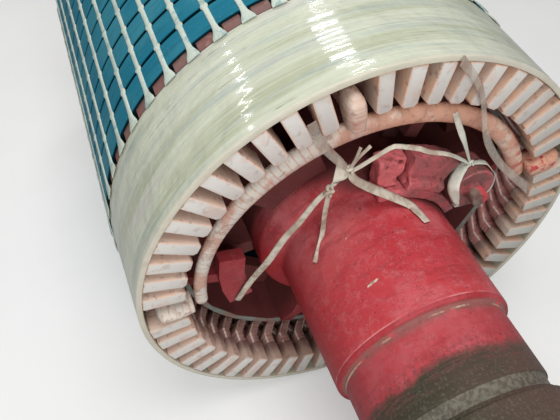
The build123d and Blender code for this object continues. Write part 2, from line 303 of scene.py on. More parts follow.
def swept(centres, across, outwards, profile):
    """Closed pieces swept along paths: point = centre + across * p + outwards * q.

    centres, across and outwards are (pieces, stations, 3); the profile is (k, 2) or (stations, k, 2) with k
    even, anticlockwise. Each end is closed by strips between the profile's two sides. Gives points, faces,
    corner UVs (metres along the path, metres round the profile) and tags piece and cap.
    """
    count, stations = centres.shape[:2]
    shape = np.broadcast_to(profile, (stations,) + profile.shape[-2:])
    k = shape.shape[1]
    points = centres[:, :, None] + across[:, :, None] * shape[None, :, :, :1]
    points = points + outwards[:, :, None] * shape[None, :, :, 1:]
    ring = np.arange(k)
    turn = np.roll(ring, -1)
    low = np.arange(stations - 1)[:, None] * k
    sides = np.stack([low + ring, low + turn, low + k + turn, low + k + ring], -1).reshape(-1, 4)
    half = np.arange(k // 2 - 1)
    strip = np.stack([half, half + 1, k - 2 - half, k - 1 - half], -1)
    caps = np.concatenate([strip[:, ::-1], strip + (stations - 1) * k])
    one = np.concatenate([sides, caps])
    faces = (one[None] + (np.arange(count) * stations * k)[:, None, None]).reshape(-1, 4)
    run = np.linalg.norm(np.diff(centres[0], axis=0), axis=1)
    along = np.concatenate([[0], np.cumsum(run)])
    round_run = np.linalg.norm(np.diff(np.concatenate([shape[0], shape[0][:1]]), axis=0), axis=1)
    about = np.concatenate([[0], np.cumsum(round_run)])
    row = np.repeat(np.arange(stations - 1), k)
    column = np.tile(ring, stations - 1)
    side_uv = np.stack(
        [
            np.stack([along[row], about[column]], -1),
            np.stack([along[row], about[column + 1]], -1),
            np.stack([along[row + 1], about[column + 1]], -1),
            np.stack([along[row + 1], about[column]], -1),
        ],
        1,
    )
    cap_uv = np.concatenate([shape[0][strip[:, ::-1]], shape[-1][strip]])
    one_uv = np.concatenate([side_uv, cap_uv])
    uv = np.broadcast_to(one_uv, (count,) + one_uv.shape).reshape(-1, 4, 2)
    chance = np.random.default_rng(11).random(count)
    tags = {
        "piece": np.repeat(chance, len(one)),
        "cap": np.tile(np.r_[np.zeros(len(sides)), np.ones(len(caps))], count),
    }
    return points.reshape(-1, 3), faces, uv, tags


def joined(parts):
    """Several results of swept() as one."""
    points, faces, uv, tags = [], [], [], {}
    start = 0
    for p, f, u, t in parts:
        points.append(p)
        faces.append(f + start)
        uv.append(u)
        for key, values in t.items():
            tags.setdefault(key, []).append(values)
        start += len(p)
    tags = {key: np.concatenate(values) for key, values in tags.items()}
    return np.concatenate(points), np.concatenate(faces), np.concatenate(uv), tags


def round_shaft(stations, radii, angles):
    """Points at x = station, y = radius * cos(angle), z = radius * sin(angle), over arrays of one shape."""
    stations, radii, angles = np.broadcast_arrays(stations, radii, angles)
    return np.stack([stations, radii * np.cos(angles), radii * np.sin(angles)], -1)


def ring_faces(sides, k, strips):
    """Faces between outlines of k points round a ring, with the side and the strip of each face."""
    i, j = np.meshgrid(np.arange(sides), np.arange(strips), indexing="ij")
    after, over = (i + 1) % sides, (j + 1) % k
    faces = np.stack([i * k + j, i * k + over, after * k + over, after * k + j], -1)
    return faces.reshape(-1, 4), i, j


def lathed(name, profile, sides, ripple=None):
    """Ring or shaft turned from a closed or open profile (k, 2) of station and radius.

    Point (i, j) lies at station[j], radius[j] + ripple(angle, station, radius) and angle 2 pi i / sides.
    """
    angles = np.arange(sides)[:, None] * (2 * math.pi / sides)
    stations, radii = profile[None, :, 0], profile[None, :, 1]
    full = radii + (ripple(angles, stations, radii) if ripple else 0)
    points = round_shaft(stations, full, angles)
    k = len(profile)
    faces, i, j = ring_faces(sides, k, k - 1)
    run = np.r_[0, np.cumsum(np.linalg.norm(np.diff(profile, axis=0), axis=1))]
    reach = profile[:, 1].max() * 2 * math.pi / sides
    uv = np.stack(
        [
            np.stack([run[j], i * reach], -1),
            np.stack([run[j + 1], i * reach], -1),
            np.stack([run[j + 1], (i + 1) * reach], -1),
            np.stack([run[j], (i + 1) * reach], -1),
        ],
        -2,
    ).reshape(-1, 4, 2)
    piece = mesh_piece(name, points, faces, uv)
    return closed_and_outward(piece)


def closed_and_outward(piece):
    """Merges doubled points, such as a lathe's poles and seam, and turns the faces outwards."""
    work = bmesh.new()
    work.from_mesh(piece.data)
    bmesh.ops.remove_doubles(work, verts=work.verts, dist=1e-6)
    bmesh.ops.recalc_face_normals(work, faces=work.faces)
    work.to_mesh(piece.data)
    work.free()
    return piece


def eased(profile, reach, steps=4):
    """Profile with each inner corner P rounded: (1-t)^2 A + 2t(1-t) P + t^2 B.

    A and B lie a reach along the corner's two sides, at most 0.45 of a side.
    """
    corners = [profile[0][None]]
    for before, corner, after in zip(profile, profile[1:], profile[2:]):
        into, out = before - corner, after - corner
        first, second = np.linalg.norm(into), np.linalg.norm(out)
        a = corner + into / first * min(reach, 0.45 * first)
        b = corner + out / second * min(reach, 0.45 * second)
        t = np.linspace(0, 1, steps)[:, None]
        corners.append((1 - t) ** 2 * a + 2 * t * (1 - t) * corner + t**2 * b)
    corners.append(profile[-1][None])
    return np.concatenate(corners)


def dressed_copy(name, node, width, segments=2):
    """Copy of a frame node with its doubles merged, its flats dissolved and its edges bevelled."""
    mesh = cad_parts[node].data.copy()
    mesh.name = name
    mesh.materials.clear()
    work = bmesh.new()
    work.from_mesh(mesh)
    bmesh.ops.remove_doubles(work, verts=work.verts, dist=1e-5)
    bmesh.ops.dissolve_limit(work, angle_limit=math.radians(1), verts=work.verts, edges=work.edges)
    for face in work.faces:
        face.smooth = True
    for edge in work.edges:
        edge.smooth = edge.calc_face_angle(0) < math.radians(30)
    work.to_mesh(mesh)
    work.free()
    piece = bpy.data.objects.new(name, mesh)
    bpy.context.scene.collection.objects.link(piece)
    bevel = piece.modifiers.new("edges", "BEVEL")
    bevel.width = width
    bevel.segments = segments
    bevel.limit_method = "ANGLE"
    bevel.angle_limit = math.radians(35)
    return piece


def lumps(points, waves, seed):
    """Smooth unevenness, mostly from -1 to 1: twice the mean of sin(direction . point + phase) over nine."""
    chance = np.random.default_rng(seed)
    directions = chance.normal(size=(9, 3)) * waves
    return np.sin(points @ directions.T + chance.uniform(0, 6.3, 9)).mean(1) * 2


def tag_proud(mesh, grain):
    """Tags each point with how far it stands out of its neighbours' mean along its normal, in grains.

    Edges are above 0, hollows below it, and three rounds of the same mean smooth the tag.
    """
    count = len(mesh.vertices)
    points, normals = vertex_values(mesh, "co"), vertex_values(mesh, "normal")
    ends = np.empty(len(mesh.edges) * 2, dtype=np.int32)
    mesh.edges.foreach_get("vertices", ends)
    ends = np.concatenate([ends.reshape(-1, 2), ends.reshape(-1, 2)[:, ::-1]])
    number = np.bincount(ends[:, 0], minlength=count)

    def mean(values):
        return np.bincount(ends[:, 0], values[ends[:, 1]], count) / np.maximum(number, 1)

    middle = np.stack([mean(column) for column in points.T], -1)
    proud = ((points - middle) * normals).sum(1) / grain
    for _ in range(3):
        proud = mean(proud)
    mesh.attributes.new("proud", "FLOAT", "POINT").data.foreach_set("value", proud.astype(np.float32))


def cast_copy(name, node, width, grain, depth, pits=()):
    """Rough casting over a frame node: its bevelled copy on an even grid, moved along its normals.

    Each point moves by depth * (0.7 * coarse lumps + 0.3 * fine lumps - 1), less each pit's
    depth * exp(-(distance / reach)^2).
    """
    draft = dressed_copy(name, node, width, 3)
    grid = draft.modifiers.new("grid", "REMESH")
    grid.mode = "VOXEL"
    grid.voxel_size = grain
    grid.use_smooth_shade = True
    shaped = bpy.data.meshes.new_from_object(draft.evaluated_get(bpy.context.evaluated_depsgraph_get()))
    bpy.data.objects.remove(draft)
    points, normals = vertex_values(shaped, "co"), vertex_values(shaped, "normal")
    move = depth * (lumps(points, 90, 3) * 0.7 + lumps(points, 260, 4) * 0.3) - depth
    for station, radius, angle, reach, pit in pits:
        centre = round_shaft(station, radius, math.radians(angle))
        move = move - pit * np.exp(-(((points - centre) ** 2).sum(1)) / reach**2)
    shaped.vertices.foreach_set("co", (points + normals * move[:, None]).ravel())
    shaped.name = name
    tag_proud(shaped, grain)
    piece = bpy.data.objects.new(name, shaped)
    bpy.context.scene.collection.objects.link(piece)
    return piece


def settle(piece, material, slot, *nodes):
    """Gives a piece its material, fixes it to the rotor and hides the frame nodes it stands for; the slot is
    not used.
    """
    piece.data.materials.clear()
    piece.data.materials.append(material)
    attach(piece, "root")
    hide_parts(*nodes)
    return piece


def keep_sharp(piece, degrees=40):
    """Marks edges that turn by more than an angle as sharp, so that flats stay flat and rounds smooth."""
    work = bmesh.new()
    work.from_mesh(piece.data)
    for edge in work.edges:
        edge.smooth = edge.calc_face_angle(0) < math.radians(degrees)
    work.to_mesh(piece.data)
    work.free()
    return piece


def turned_ring(name, stations, radii, angles, degrees):
    """Closed ring with an outline of stations (k) and radii (sides, k) at each angle and sharp edges."""
    faces = ring_faces(len(angles), len(stations), len(stations))[0]
    piece = mesh_piece(name, round_shaft(stations[None], radii, angles[:, None]), faces)
    return keep_sharp(closed_and_outward(piece), degrees)


def unit(vectors):
    """Vectors (..., 3) divided by their lengths."""
    return vectors / np.linalg.norm(vectors, axis=-1, keepdims=True)


# Materials


class Amount:
    """A number in a material: arithmetic on it adds Math nodes."""

    def __init__(self, finish, socket):
        self.finish = finish
        self.socket = socket

    def math(self, operation, *others):
        inputs = dict(enumerate((self, *others)))
        return self.finish.amount("ShaderNodeMath", {"operation": operation}, inputs)

    def __add__(self, other):
        return self.math("ADD", other)

    def __sub__(self, other):
        return self.math("SUBTRACT", other)

    def __rsub__(self, other):
        return self.finish.amount("ShaderNodeMath", {"operation": "SUBTRACT"}, {0: other, 1: self})

    def __mul__(self, other):
        return self.math("MULTIPLY", other)

    def wave(self):
        return self.math("SINE")

    def size(self):
        return self.math("ABSOLUTE")

    def between(self, low, high):
        """0 below low, 1 above high and smooth between them."""
        inputs = {"Value": self, "From Min": low, "From Max": high}
        return self.finish.amount("ShaderNodeMapRange", {"interpolation_type": "SMOOTHSTEP"}, inputs)

    __radd__ = __add__
    __rmul__ = __mul__


class Finish:
    """One procedural material and the nodes that make it."""

    def __init__(self, name, **constants):
        self.material = bpy.data.materials.new(name)
        self.material.use_nodes = True
        self.tree = self.material.node_tree
        self.tree.nodes.clear()
        output = self.tree.nodes.new("ShaderNodeOutputMaterial")
        self.surface = self.tree.nodes.new("ShaderNodeBsdfPrincipled")
        self.tree.links.new(self.surface.outputs[0], output.inputs["Surface"])
        for key, value in constants.items():
            self.surface.inputs[key.replace("_", " ").title().replace("Ior", "IOR")].default_value = value
        self.place = self.node("ShaderNodeTexCoord").outputs["Object"]

    def feed(self, socket, value):
        """Links a socket to an amount or another socket, or sets its number or colour."""
        value = getattr(value, "socket", value)
        if isinstance(value, bpy.types.NodeSocket):
            self.tree.links.new(value, socket)
        elif socket.type == "RGBA":
            socket.default_value = tuple(value)[:3] + (1,)
        else:
            socket.default_value = value

    def node(self, kind, settings=None, inputs=None):
        """Any node: its settings first, then the values or links of its sockets."""
        made = self.tree.nodes.new(kind)
        for key, value in (settings or {}).items():
            setattr(made, key, value)
        for key, value in (inputs or {}).items():
            self.feed(made.inputs[key], value)
        return made

    def amount(self, kind, settings=None, inputs=None, output=0):
        return Amount(self, self.node(kind, settings, inputs).outputs[output])

    def noise(self, scale, detail=3, stretch=None, rough=0.55):
        """Noise with its middle at 0.5; the scale is in waves a metre, times a stretch along each axis."""
        where = self.place
        if stretch:
            where = self.node("ShaderNodeMapping", None, {"Vector": where, "Scale": stretch}).outputs[0]
        inputs = {"Vector": where, "Scale": scale, "Detail": detail, "Roughness": rough}
        return self.amount("ShaderNodeTexNoise", None, inputs)

    def tag(self, name):
        """Value of a tag on the mesh."""
        return self.amount("ShaderNodeAttribute", {"attribute_name": name}, None, "Fac")

    def axes(self, source=None):
        """X, Y and Z of the object coordinates or of another vector, as amounts."""
        split = self.node("ShaderNodeSeparateXYZ", None, {0: source or self.place})
        return [Amount(self, socket) for socket in split.outputs]

    def run(self):
        """Distance along and round a swept piece, from its UV map."""
        return self.axes(self.node("ShaderNodeUVMap", {"uv_map": "surface"}).outputs[0])[:2]

    def weave(self):
        """Threads of a swept tape: sin(2200 along) * sin(2200 about)."""
        along, about = self.run()
        return (along * 2200).wave() * (about * 2200).wave()

    def blend(self, factor, first, second):
        """Colour between two colours."""
        settings = {"data_type": "RGBA", "blend_type": "MIX", "clamp_factor": True}
        return self.node("ShaderNodeMix", settings, {0: factor, 6: first, 7: second}).outputs[2]

    def coats(self, colour, *layers):
        """Colour with others laid over it in turn, each where its mask is 1."""
        for mask, over in layers:
            colour = self.blend(mask, colour, over)
        return colour

    def done(self, colour, roughness, height=None, depth=0.001, **more):
        """Joins the colour, the roughness and the bump height to the surface."""
        if height is not None:
            bump = self.node("ShaderNodeBump", None, {"Height": height, "Distance": depth, "Strength": 1.0})
            more["Normal"] = bump.outputs[0]
        for key, value in {"Base Color": colour, "Roughness": roughness, **more}.items():
            self.feed(self.surface.inputs[key], value)
        return self.material


def core_paint():
    """Blue-green paint on the sheet packets: duller in patches, streaked, with painted shade in the ducts and
    the bore.
    """
    f = Finish("core_paint", specular_ior_level=0.1)
    c = colours()
    _, y, z = f.axes()
    # Painted shade: the packets turn dark blue below their outer skin, in the ducts and the bore.
    outside = (y * y + z * z).between((CORE_RADIUS - 0.0030) ** 2, (CORE_RADIUS - 0.0014) ** 2)
    patches = f.noise(7, 4).between(0.42, 0.68)
    streaks = f.noise(9, 4, (14, 1, 1)).between(0.45, 0.75)
    specks = f.noise(260, 2).between(0.66, 0.74)
    colour = f.coats(
        c.core,
        (patches * 0.75, c.core_worn),
        (streaks * 0.35, tone(18, 64, 80)),
        (specks * 0.4, tone(124, 164, 166)),
    )
    colour = f.blend(outside, tone(12, 34, 42), colour)
    return f.done(colour, f.noise(24, 3) * 0.25 + 0.42, f.noise(120, 4) + f.noise(18, 2) * 2, 0.0006)


def wedge_laminate():
    """Cream-white laminate with resin on it and a little blue paint run over its edges."""
    f = Finish("wedge_laminate", specular_ior_level=0.35)
    paint = f.noise(46, 4).between(0.56, 0.66)
    dirt = f.noise(15, 4, (1, 3, 3)).between(0.42, 0.75)
    pores = f.noise(300, 2).between(0.6, 0.7)
    colour = f.coats(
        colours().wedge,
        (dirt * 0.6, tone(140, 156, 150)),
        (paint * 0.5, tone(96, 142, 150)),
        (pores * 0.4, tone(110, 124, 120)),
    )
    return f.done(colour, f.noise(40, 2) * 0.3 + 0.4, f.noise(180, 3), 0.0005)


def glass_banding():
    """Glossy resin over wound glass, with painted shade towards +Y: fine turns, stains, dashes and a paler
    lip.
    """
    f = Finish("glass_banding", coat_weight=0.4, coat_roughness=0.08, specular_ior_level=0.3)
    x, y, _ = f.axes()
    turns = f.noise(5, 5, (46, 1, 1), 0.62)
    olive = f.noise(2.0, 4, (11, 1, 1)).between(0.46, 0.64)
    grey = f.noise(3.1, 3, (13, 1, 1)).between(0.5, 0.66)
    violet = f.noise(4.2, 3, (6, 1, 1)).between(0.56, 0.7)
    dashes = f.noise(15, 3, (24, 1, 1)).between(0.66, 0.71)
    scratches = f.noise(9, 5, (70, 1, 1), 0.7).between(0.62, 0.7)
    dots = f.noise(240, 2).between(0.74, 0.78)
    lip = x.size().between(WINDING_END - 0.006, WINDING_END - 0.004)
    colour = f.coats(
        colours().band,
        (olive * 0.6, tone(146, 150, 116)),
        (grey * 0.6, tone(150, 162, 158)),
        (violet * 0.45, tone(182, 170, 176)),
        (turns.between(0.35, 0.75) * 0.5, tone(208, 212, 196)),
        (scratches * 0.28, tone(126, 130, 104)),
        (dashes * 0.6, tone(98, 98, 80)),
        (dots * 0.6, tone(92, 90, 78)),
        # Painted shade: darker towards +Y.
        (y.between(0.2, 0.42) * 0.5, tone(138, 138, 122)),
        (lip * 0.7, tone(206, 198, 182)),
    )
    rough = f.noise(12, 3, (4, 1, 1)) * 0.35 + 0.2
    height = turns * 1.1 + f.noise(60, 3, (7, 1, 1)) * 0.6 + f.noise(11, 3) * 14
    height = height + f.noise(28, 3, (3, 1, 1)) * 2.2
    return f.done(colour, rough, height, 0.0007)


def clip_metal():
    """Tinned and varnished clip, with painted light towards -Y and painted shade towards +Y: grey face, sides
    cream to salmon and browner behind.
    """
    f = Finish("clip_metal", specular_ior_level=0.4)
    c = colours()
    x, y, z = f.axes()
    wear = f.noise(60, 4)
    front = (x.size() + f.noise(30, 3) * 0.02).between(BAR_END + 0.010, WINDING_END + 0.004)
    low = z.between(-0.02, -0.24)
    # Painted light: the face and the sides paler towards -Y.
    pale = y.between(-0.05, -0.25)
    tin = f.coats(
        c.clip,
        (f.tag("piece"), tone(216, 212, 206)),
        (pale * 0.6, tone(222, 219, 214)),
        # Painted shade: the face darker towards +Y.
        (y.between(0.2, 0.4) * 0.5, tone(164, 168, 162)),
        (wear.between(0.54, 0.7) * 0.45, tone(176, 156, 142)),
        (f.noise(21, 4).between(0.56, 0.66) * 0.35, tone(214, 176, 154)),
    )
    side = f.coats(
        c.copper,
        (f.noise(34, 4).between(0.35, 0.65) * 0.7, tone(206, 196, 184)),
        (pale * 0.5, tone(236, 212, 196)),
        ((1 - front) * (low * 0.35 + 0.6), tone(128, 98, 88)),
        (f.noise(90, 3).between(0.55, 0.7) * 0.5, tone(132, 98, 88)),
        (low * 0.35, tone(122, 90, 84)),
    )
    colour = f.blend(f.tag("cap"), side, tin)
    return f.done(colour, f.noise(70, 2) * 0.3 + 0.38, f.noise(160, 3), 0.0005, Metallic=0.08)


def bar_tape():
    """Half-lapped tape on the bars: a step every turn, mauve-brown with cream painted highlights along the
    corners and painted light towards +Y, soaked in resin.
    """
    f = Finish("bar_tape", specular_ior_level=0.5)
    along, about = f.run()
    turn = (along * (1 / sizes().tape_step) + about * 14).math("FRACT")
    lap = turn.between(0.0, 0.12) * (1 - turn.between(0.85, 1.0))
    stain = f.noise(20, 4).between(0.4, 0.66)
    # Painted highlights: cream along the middles of the bar's corners.
    edges = 0
    for corner in bar_corners():
        edges = (1 - (about - corner).size().between(0.0008, 0.0030)) + edges
    colour = f.coats(
        colours().tape,
        (f.tag("piece"), tone(196, 156, 142)),
        # Painted light: paler towards +Y.
        (f.axes()[1].between(0.15, 0.25) * 0.6, tone(226, 150, 146)),
        (stain * 0.55, tone(118, 74, 72)),
        ((1 - lap) * 0.25, tone(84, 56, 54)),
        (edges * f.noise(55, 3).between(0.3, 0.5) * 0.85, tone(232, 222, 208)),
    )
    return f.done(colour, f.noise(50, 2) * 0.3 + 0.3, lap + f.noise(240, 2) * 0.4, 0.0007)


def resin_tape():
    """Resin-soaked tape of the star ring: cream towards -Y, salmon and red towards +Y."""
    f = Finish("resin_tape", coat_weight=0.25, coat_roughness=0.25, specular_ior_level=0.4)
    along, about = f.run()
    turn = (along * (1 / RING_TAPE_STEP) + about * 9).math("FRACT")
    lap = turn.between(0.0, 0.15) * (1 - turn.between(0.8, 1.0))
    y = f.axes()[1] + f.noise(9, 3) * 0.14
    wisps = f.noise(18, 5, None, 0.65)
    red = f.noise(60, 3).between(0.5, 0.6) * y.between(0.30, 0.38)
    seams = (1 - lap) * (y.between(0.10, -0.06) * 0.6 + 0.1)
    colour = f.coats(
        tone(208, 202, 192),
        (y.between(-0.10, 0.10), tone(206, 156, 132)),
        (wisps.between(0.5, 0.62) * 0.7, tone(188, 132, 110)),
        (wisps.between(0.46, 0.36) * 0.6, tone(222, 208, 192)),
        (f.noise(70, 4).between(0.56, 0.66) * 0.5, tone(142, 104, 92)),
        (red, tone(176, 62, 66)),
        (seams * f.noise(50, 3).between(0.35, 0.55), tone(190, 140, 118)),
    )
    return f.done(colour, f.noise(60, 2) * 0.25 + 0.34, lap * 0.35 + f.noise(120, 3) * 0.5, 0.0009)


def red_coat(f):
    """Colour, roughness and height of the red enamel: chalk, darker runs, hair scratches, chips and pits."""
    chalk = f.noise(8, 6, None, 0.66).between(0.46, 0.62)
    fine = f.noise(60, 5, None, 0.7).between(0.5, 0.7)
    dark = f.noise(5, 5).between(0.5, 0.7)
    worms = (f.noise(26, 5, None, 0.7) - 0.5).size().between(0.012, 0.003)
    scratches = (f.noise(17, 5, (2.6, 1, 1), 0.75) - 0.47).size().between(0.008, 0.002)
    hairs = scratches * f.noise(9, 3).between(0.5, 0.6)
    pits = f.noise(130, 2).between(0.7, 0.76)
    chips = f.noise(75, 2, (1, 1, 1.01)).between(0.78, 0.80)
    colour = f.coats(
        colours().red,
        (dark * 0.6, tone(160, 34, 44)),
        (chalk * 0.5, tone(206, 108, 114)),
        (fine * 0.3, tone(208, 128, 130)),
        (worms * 0.35, tone(222, 142, 146)),
        (pits * 0.6, tone(84, 24, 30)),
        (hairs * 0.7, tone(96, 30, 36)),
        (chips * 0.8, tone(214, 190, 176)),
    )
    rough = f.noise(16, 4) * 0.35 + 0.3
    height = f.noise(30, 5) * 2 + f.noise(150, 3) * 0.4 - pits * 0.6 - worms * 0.3
    return colour, rough, height


def red_enamel():
    """Red enamel of the spider: duller than the shaft's, with dark brown painted shade deeper in and higher
    up.
    """
    f = Finish("red_enamel", specular_ior_level=0.3)
    colour, rough, height = red_coat(f)
    x, _, z = f.axes()
    # Painted shade: dark brown deeper inside the rotor and higher up.
    reach = x.size() + f.noise(9, 4) * 0.02
    colour = f.coats(
        colour,
        (0.42, tone(92, 40, 42)),
        (reach.between(0.55, 0.48) * 0.85, tone(104, 64, 60)),
        (z.between(0.09, 0.16) * 0.85, tone(82, 50, 47)),
    )
    return f.done(colour, rough + 0.1, height, 0.0012)


def clamp_coat():
    """Red enamel on rough castings: pink where it is worn, pink proud edges as worn paint and painted
    highlight, painted shade in the hollows, grey-brown on the boss.
    """
    f = Finish("clamp_coat", specular_ior_level=0.3)
    colour, rough, height = red_coat(f)
    x, y, z = f.axes()
    grime = f.noise(40, 5, None, 0.7).between(0.42, 0.62)
    bolt = y.between(0.085, 0.13) * f.noise(24, 4).between(0.3, 0.5)
    proud = f.tag("proud")
    stub = x.between(STUB_START, STUB_START + 0.002)
    rusty = f.blend(f.noise(60, 4).between(0.4, 0.6), tone(128, 112, 102), tone(104, 78, 72))
    colour = f.coats(
        colour,
        (grime * 0.45 + 0.35, tone(146, 94, 93)),
        (bolt * 0.8, tone(112, 80, 76)),
        (y.between(0.055, 0.035) * 0.6, tone(226, 118, 122)),
        (f.noise(22, 4).between(0.52, 0.66) * 0.55, tone(190, 96, 100)),
        (f.noise(110, 4).between(0.6, 0.7) * 0.5, tone(62, 34, 34)),
        # Proud edges paler: worn paint and painted highlight; hollows darker: painted shade.
        (proud.between(0.03, 0.12) * 0.7, tone(214, 118, 122)),
        (proud.between(-0.03, -0.12) * 0.7, tone(74, 40, 40)),
        (stub, rusty),
        (stub * (y + z * 0.4).between(0.224, 0.232) * 0.85, tone(200, 70, 80)),
    )
    return f.done(colour, rough + 0.12, height + f.noise(90, 5) * 2, 0.0016)


def shaft_finish():
    """Chalked red enamel to a sprayed edge, grime in its step, then dusty steel with a paler groove; painted
    shade underneath, on the hub and on the shoulder's chamfer, and a painted highlight at the shoulder.
    """
    f = Finish("shaft_finish", specular_ior_level=0.16)
    colour, rough, height = red_coat(f)
    x, y, z = f.axes()
    x = x.size()

    def past(station):
        """0 before a station of the shaft and 1 past it, changing over a millimetre."""
        return x.between(station - 0.0005, station + 0.0005)

    chalky = (x - 0.72).between(0.0, -0.14) * y.between(0.0, -0.09)
    chalky = chalky * f.noise(7, 5, None, 0.7).between(0.3, 0.6)
    # Painted shade: deeper red towards the underside.
    low = (z + f.noise(6, 4) * 0.1).between(0.16, 0.03)
    brushed = f.noise(16, 6, (6, 1, 1), 0.7).between(0.53, 0.62) * f.noise(5, 3).between(0.36, 0.5)
    # Painted shadow: dark brown on the hub near the spider.
    hub_shadow = (x - y * 0.5 + f.noise(12, 3) * 0.02).between(0.594, 0.564)
    aside = y + 0.0725
    oval = ((x - 0.7225 + aside * 0.15) * 420).math("POWER", 2) + (aside * 105).math("POWER", 2)
    flake = (oval + f.noise(120, 3)).between(1.5, 1.2) * z.between(0.0, 0.01)
    primer = f.blend(f.noise(200, 3).between(0.4, 0.6), tone(222, 214, 196), tone(150, 132, 112))
    # Painted highlight: a thin pale line at the shoulder's edge.
    shoulder = past(SHOULDER - 0.002) * (1 - past(SHOULDER))
    step = past(BODY_END) * (1 - (x + f.noise(16, 4) * 0.016).between(0.814, 0.828))
    ring = past(BODY_END + 0.004) * (1 - x.between(0.8062, 0.8075))
    line = ring * f.noise(7, 5, None, 0.7).between(0.4, 0.5)
    border = x + f.noise(7, 5, None, 0.6) * 0.05 + f.noise(60, 5) * 0.008
    bare = border.between(0.893, 0.909)
    spray = border.between(0.868, 0.899)
    mist = border.between(0.94, 0.906) * bare * f.noise(30, 5, (6, 1, 1), 0.7).between(0.45, 0.6)
    turned = f.noise(6, 4, (60, 1, 1))
    groove = past(GROOVE_START) * (1 - past(GROOVE_END))
    polished = f.blend(f.noise(150, 4).between(0.4, 0.6), tone(136, 132, 119), tone(104, 98, 88))
    dust = f.noise(8, 6, None, 0.6).between(0.47, 0.53) * x.between(0.955, 0.975)
    steel = f.coats(
        colours().steel,
        (turned.between(0.3, 0.7) * 0.5, tone(52, 51, 40)),
        ((y + f.noise(9, 4) * 0.2).between(0.04, 0.20) * 0.85, tone(98, 76, 69)),
        (f.noise(240, 3).between(0.5, 0.7) * 0.3, tone(124, 120, 106)),
        (groove * 0.75, polished),
        (dust * 0.35, tone(150, 148, 138)),
    )
    colour = f.coats(
        colour,
        (chalky * 0.55, tone(204, 126, 126)),
        (low * 0.85, tone(158, 28, 38)),
        (brushed * 0.3, tone(126, 42, 48)),
        (hub_shadow * 0.85, tone(78, 46, 44)),
        # Painted shade on the shoulder's chamfer.
        (past(SHOULDER) * (1 - past(BODY_END)) * 0.45, tone(128, 34, 42)),
        (flake * 0.9, primer),
        (shoulder * f.noise(14, 4).between(0.35, 0.6) * 0.6, tone(226, 158, 158)),
        (step * f.noise(40, 4, (2, 1, 1)).between(0.3, 0.5) * 0.8, tone(128, 92, 86)),
        (line * 0.8, tone(196, 178, 150)),
        (x.between(0.80, 0.82) * 0.3, tone(132, 62, 68)),
        (spray * f.noise(150, 5, None, 0.7).between(0.44, 0.64) * 0.8, tone(118, 62, 64)),
        (bare, steel),
        (mist * 0.5, tone(132, 70, 72)),
    )
    rough = rough * (1 - bare) + bare * (f.noise(18, 3) * 0.2 + 0.42)
    return f.done(colour, rough, height * (1 - bare) + turned * bare, 0.001, Metallic=bare * 0.2)


def finger_steel():
    """Dull dark steel of the fingers with red and brown resin on it."""
    f = Finish("finger_steel", specular_ior_level=0.3)
    colour = f.coats(
        tone(124, 96, 90),
        (f.noise(26, 4).between(0.42, 0.6), tone(128, 84, 80)),
        (f.noise(80, 3).between(0.55, 0.7) * 0.5, tone(146, 128, 118)),
    )
    return f.done(colour, f.noise(40, 2) * 0.3 + 0.5, f.noise(90, 4), 0.0008)


def ring_coat():
    """Dark red support ring with a thin teal-grey insulation edge."""
    f = Finish("ring_coat", specular_ior_level=0.35)
    colour, rough, height = red_coat(f)
    edge = f.axes()[0].size().between(SUPPORT_END - 0.0045, SUPPORT_END - 0.0025)
    cloth = f.blend(f.noise(30, 4).between(0.4, 0.65), tone(132, 142, 134), tone(146, 116, 108))
    colour = f.coats(colour, (0.85, tone(100, 64, 61)), (edge, cloth))
    return f.done(colour, rough + 0.1, height, 0.001)


def lashing_tape():
    """Woven cotton tape, cream with resin stains and whiter round the clamp's boss."""
    f = Finish("lashing_tape", specular_ior_level=0.2)
    colour = f.coats(
        tone(206, 198, 182),
        (f.noise(30, 4).between(0.42, 0.6) * 0.7, tone(158, 138, 120)),
        (f.noise(90, 3).between(0.5, 0.7) * 0.4, tone(130, 112, 100)),
        (f.axes()[1].between(0.10, 0.14) * 0.75, tone(212, 216, 204)),
    )
    return f.done(colour, f.noise(60, 2) * 0.2 + 0.5, f.weave() * 0.3 + f.noise(90, 3), 0.0008)


def gauze_tape():
    """Thin open tape that shows what lies behind it, browner and closer in patches."""
    f = Finish("gauze_tape", specular_ior_level=0.4)
    patches = f.noise(40, 4).between(0.4, 0.62)
    colour = f.blend(patches, tone(216, 208, 196), tone(178, 156, 142))
    height = f.weave() * 0.3 + f.noise(90, 3)
    return f.done(colour, f.noise(60, 2) * 0.2 + 0.4, height, 0.0008, Alpha=patches * 0.3 + 0.28)


def floor_coat():
    """Pale floor that is seen a little brighter than it is lit, so that it stays pale far from the lamps."""
    f = Finish("floor_coat", specular_ior_level=0.3, emission_strength=0.3)
    seen = f.amount("ShaderNodeLightPath")
    colour = f.blend(f.noise(3, 3).between(0.3, 0.7), colours().floor, tone(202, 202, 201))
    glow = f.blend(seen, (0, 0, 0), (1, 1, 1))
    return f.done(colour, f.noise(6, 2) * 0.1 + 0.5, **{"Emission Color": glow})


# Shapes


def bar_corners():
    """Distances round a bar's section, from its lower right corner, to the middles of its corners."""
    s = sizes()
    bevel = BAR_CORNER * math.sqrt(2)
    tall, wide = s.bar_height - 2 * BAR_CORNER + bevel, s.bar_width - 2 * BAR_CORNER + bevel
    return np.cumsum([bevel / 2, tall, wide, tall])


def rounded_box(width, height, corner, steps=2):
    """Anticlockwise outline of a rectangle: centre of each corner + corner * (cos a, sin a)."""
    turns = np.concatenate([np.linspace(q, q + 90, steps) for q in (-90, 0, 90, 180)]) * math.pi / 180
    sign = np.repeat([[1, -1], [1, 1], [-1, 1], [-1, -1]], steps, axis=0)
    inner = sign * [width / 2 - corner, height / 2 - corner]
    return inner + corner * np.stack([np.cos(turns), np.sin(turns)], -1)


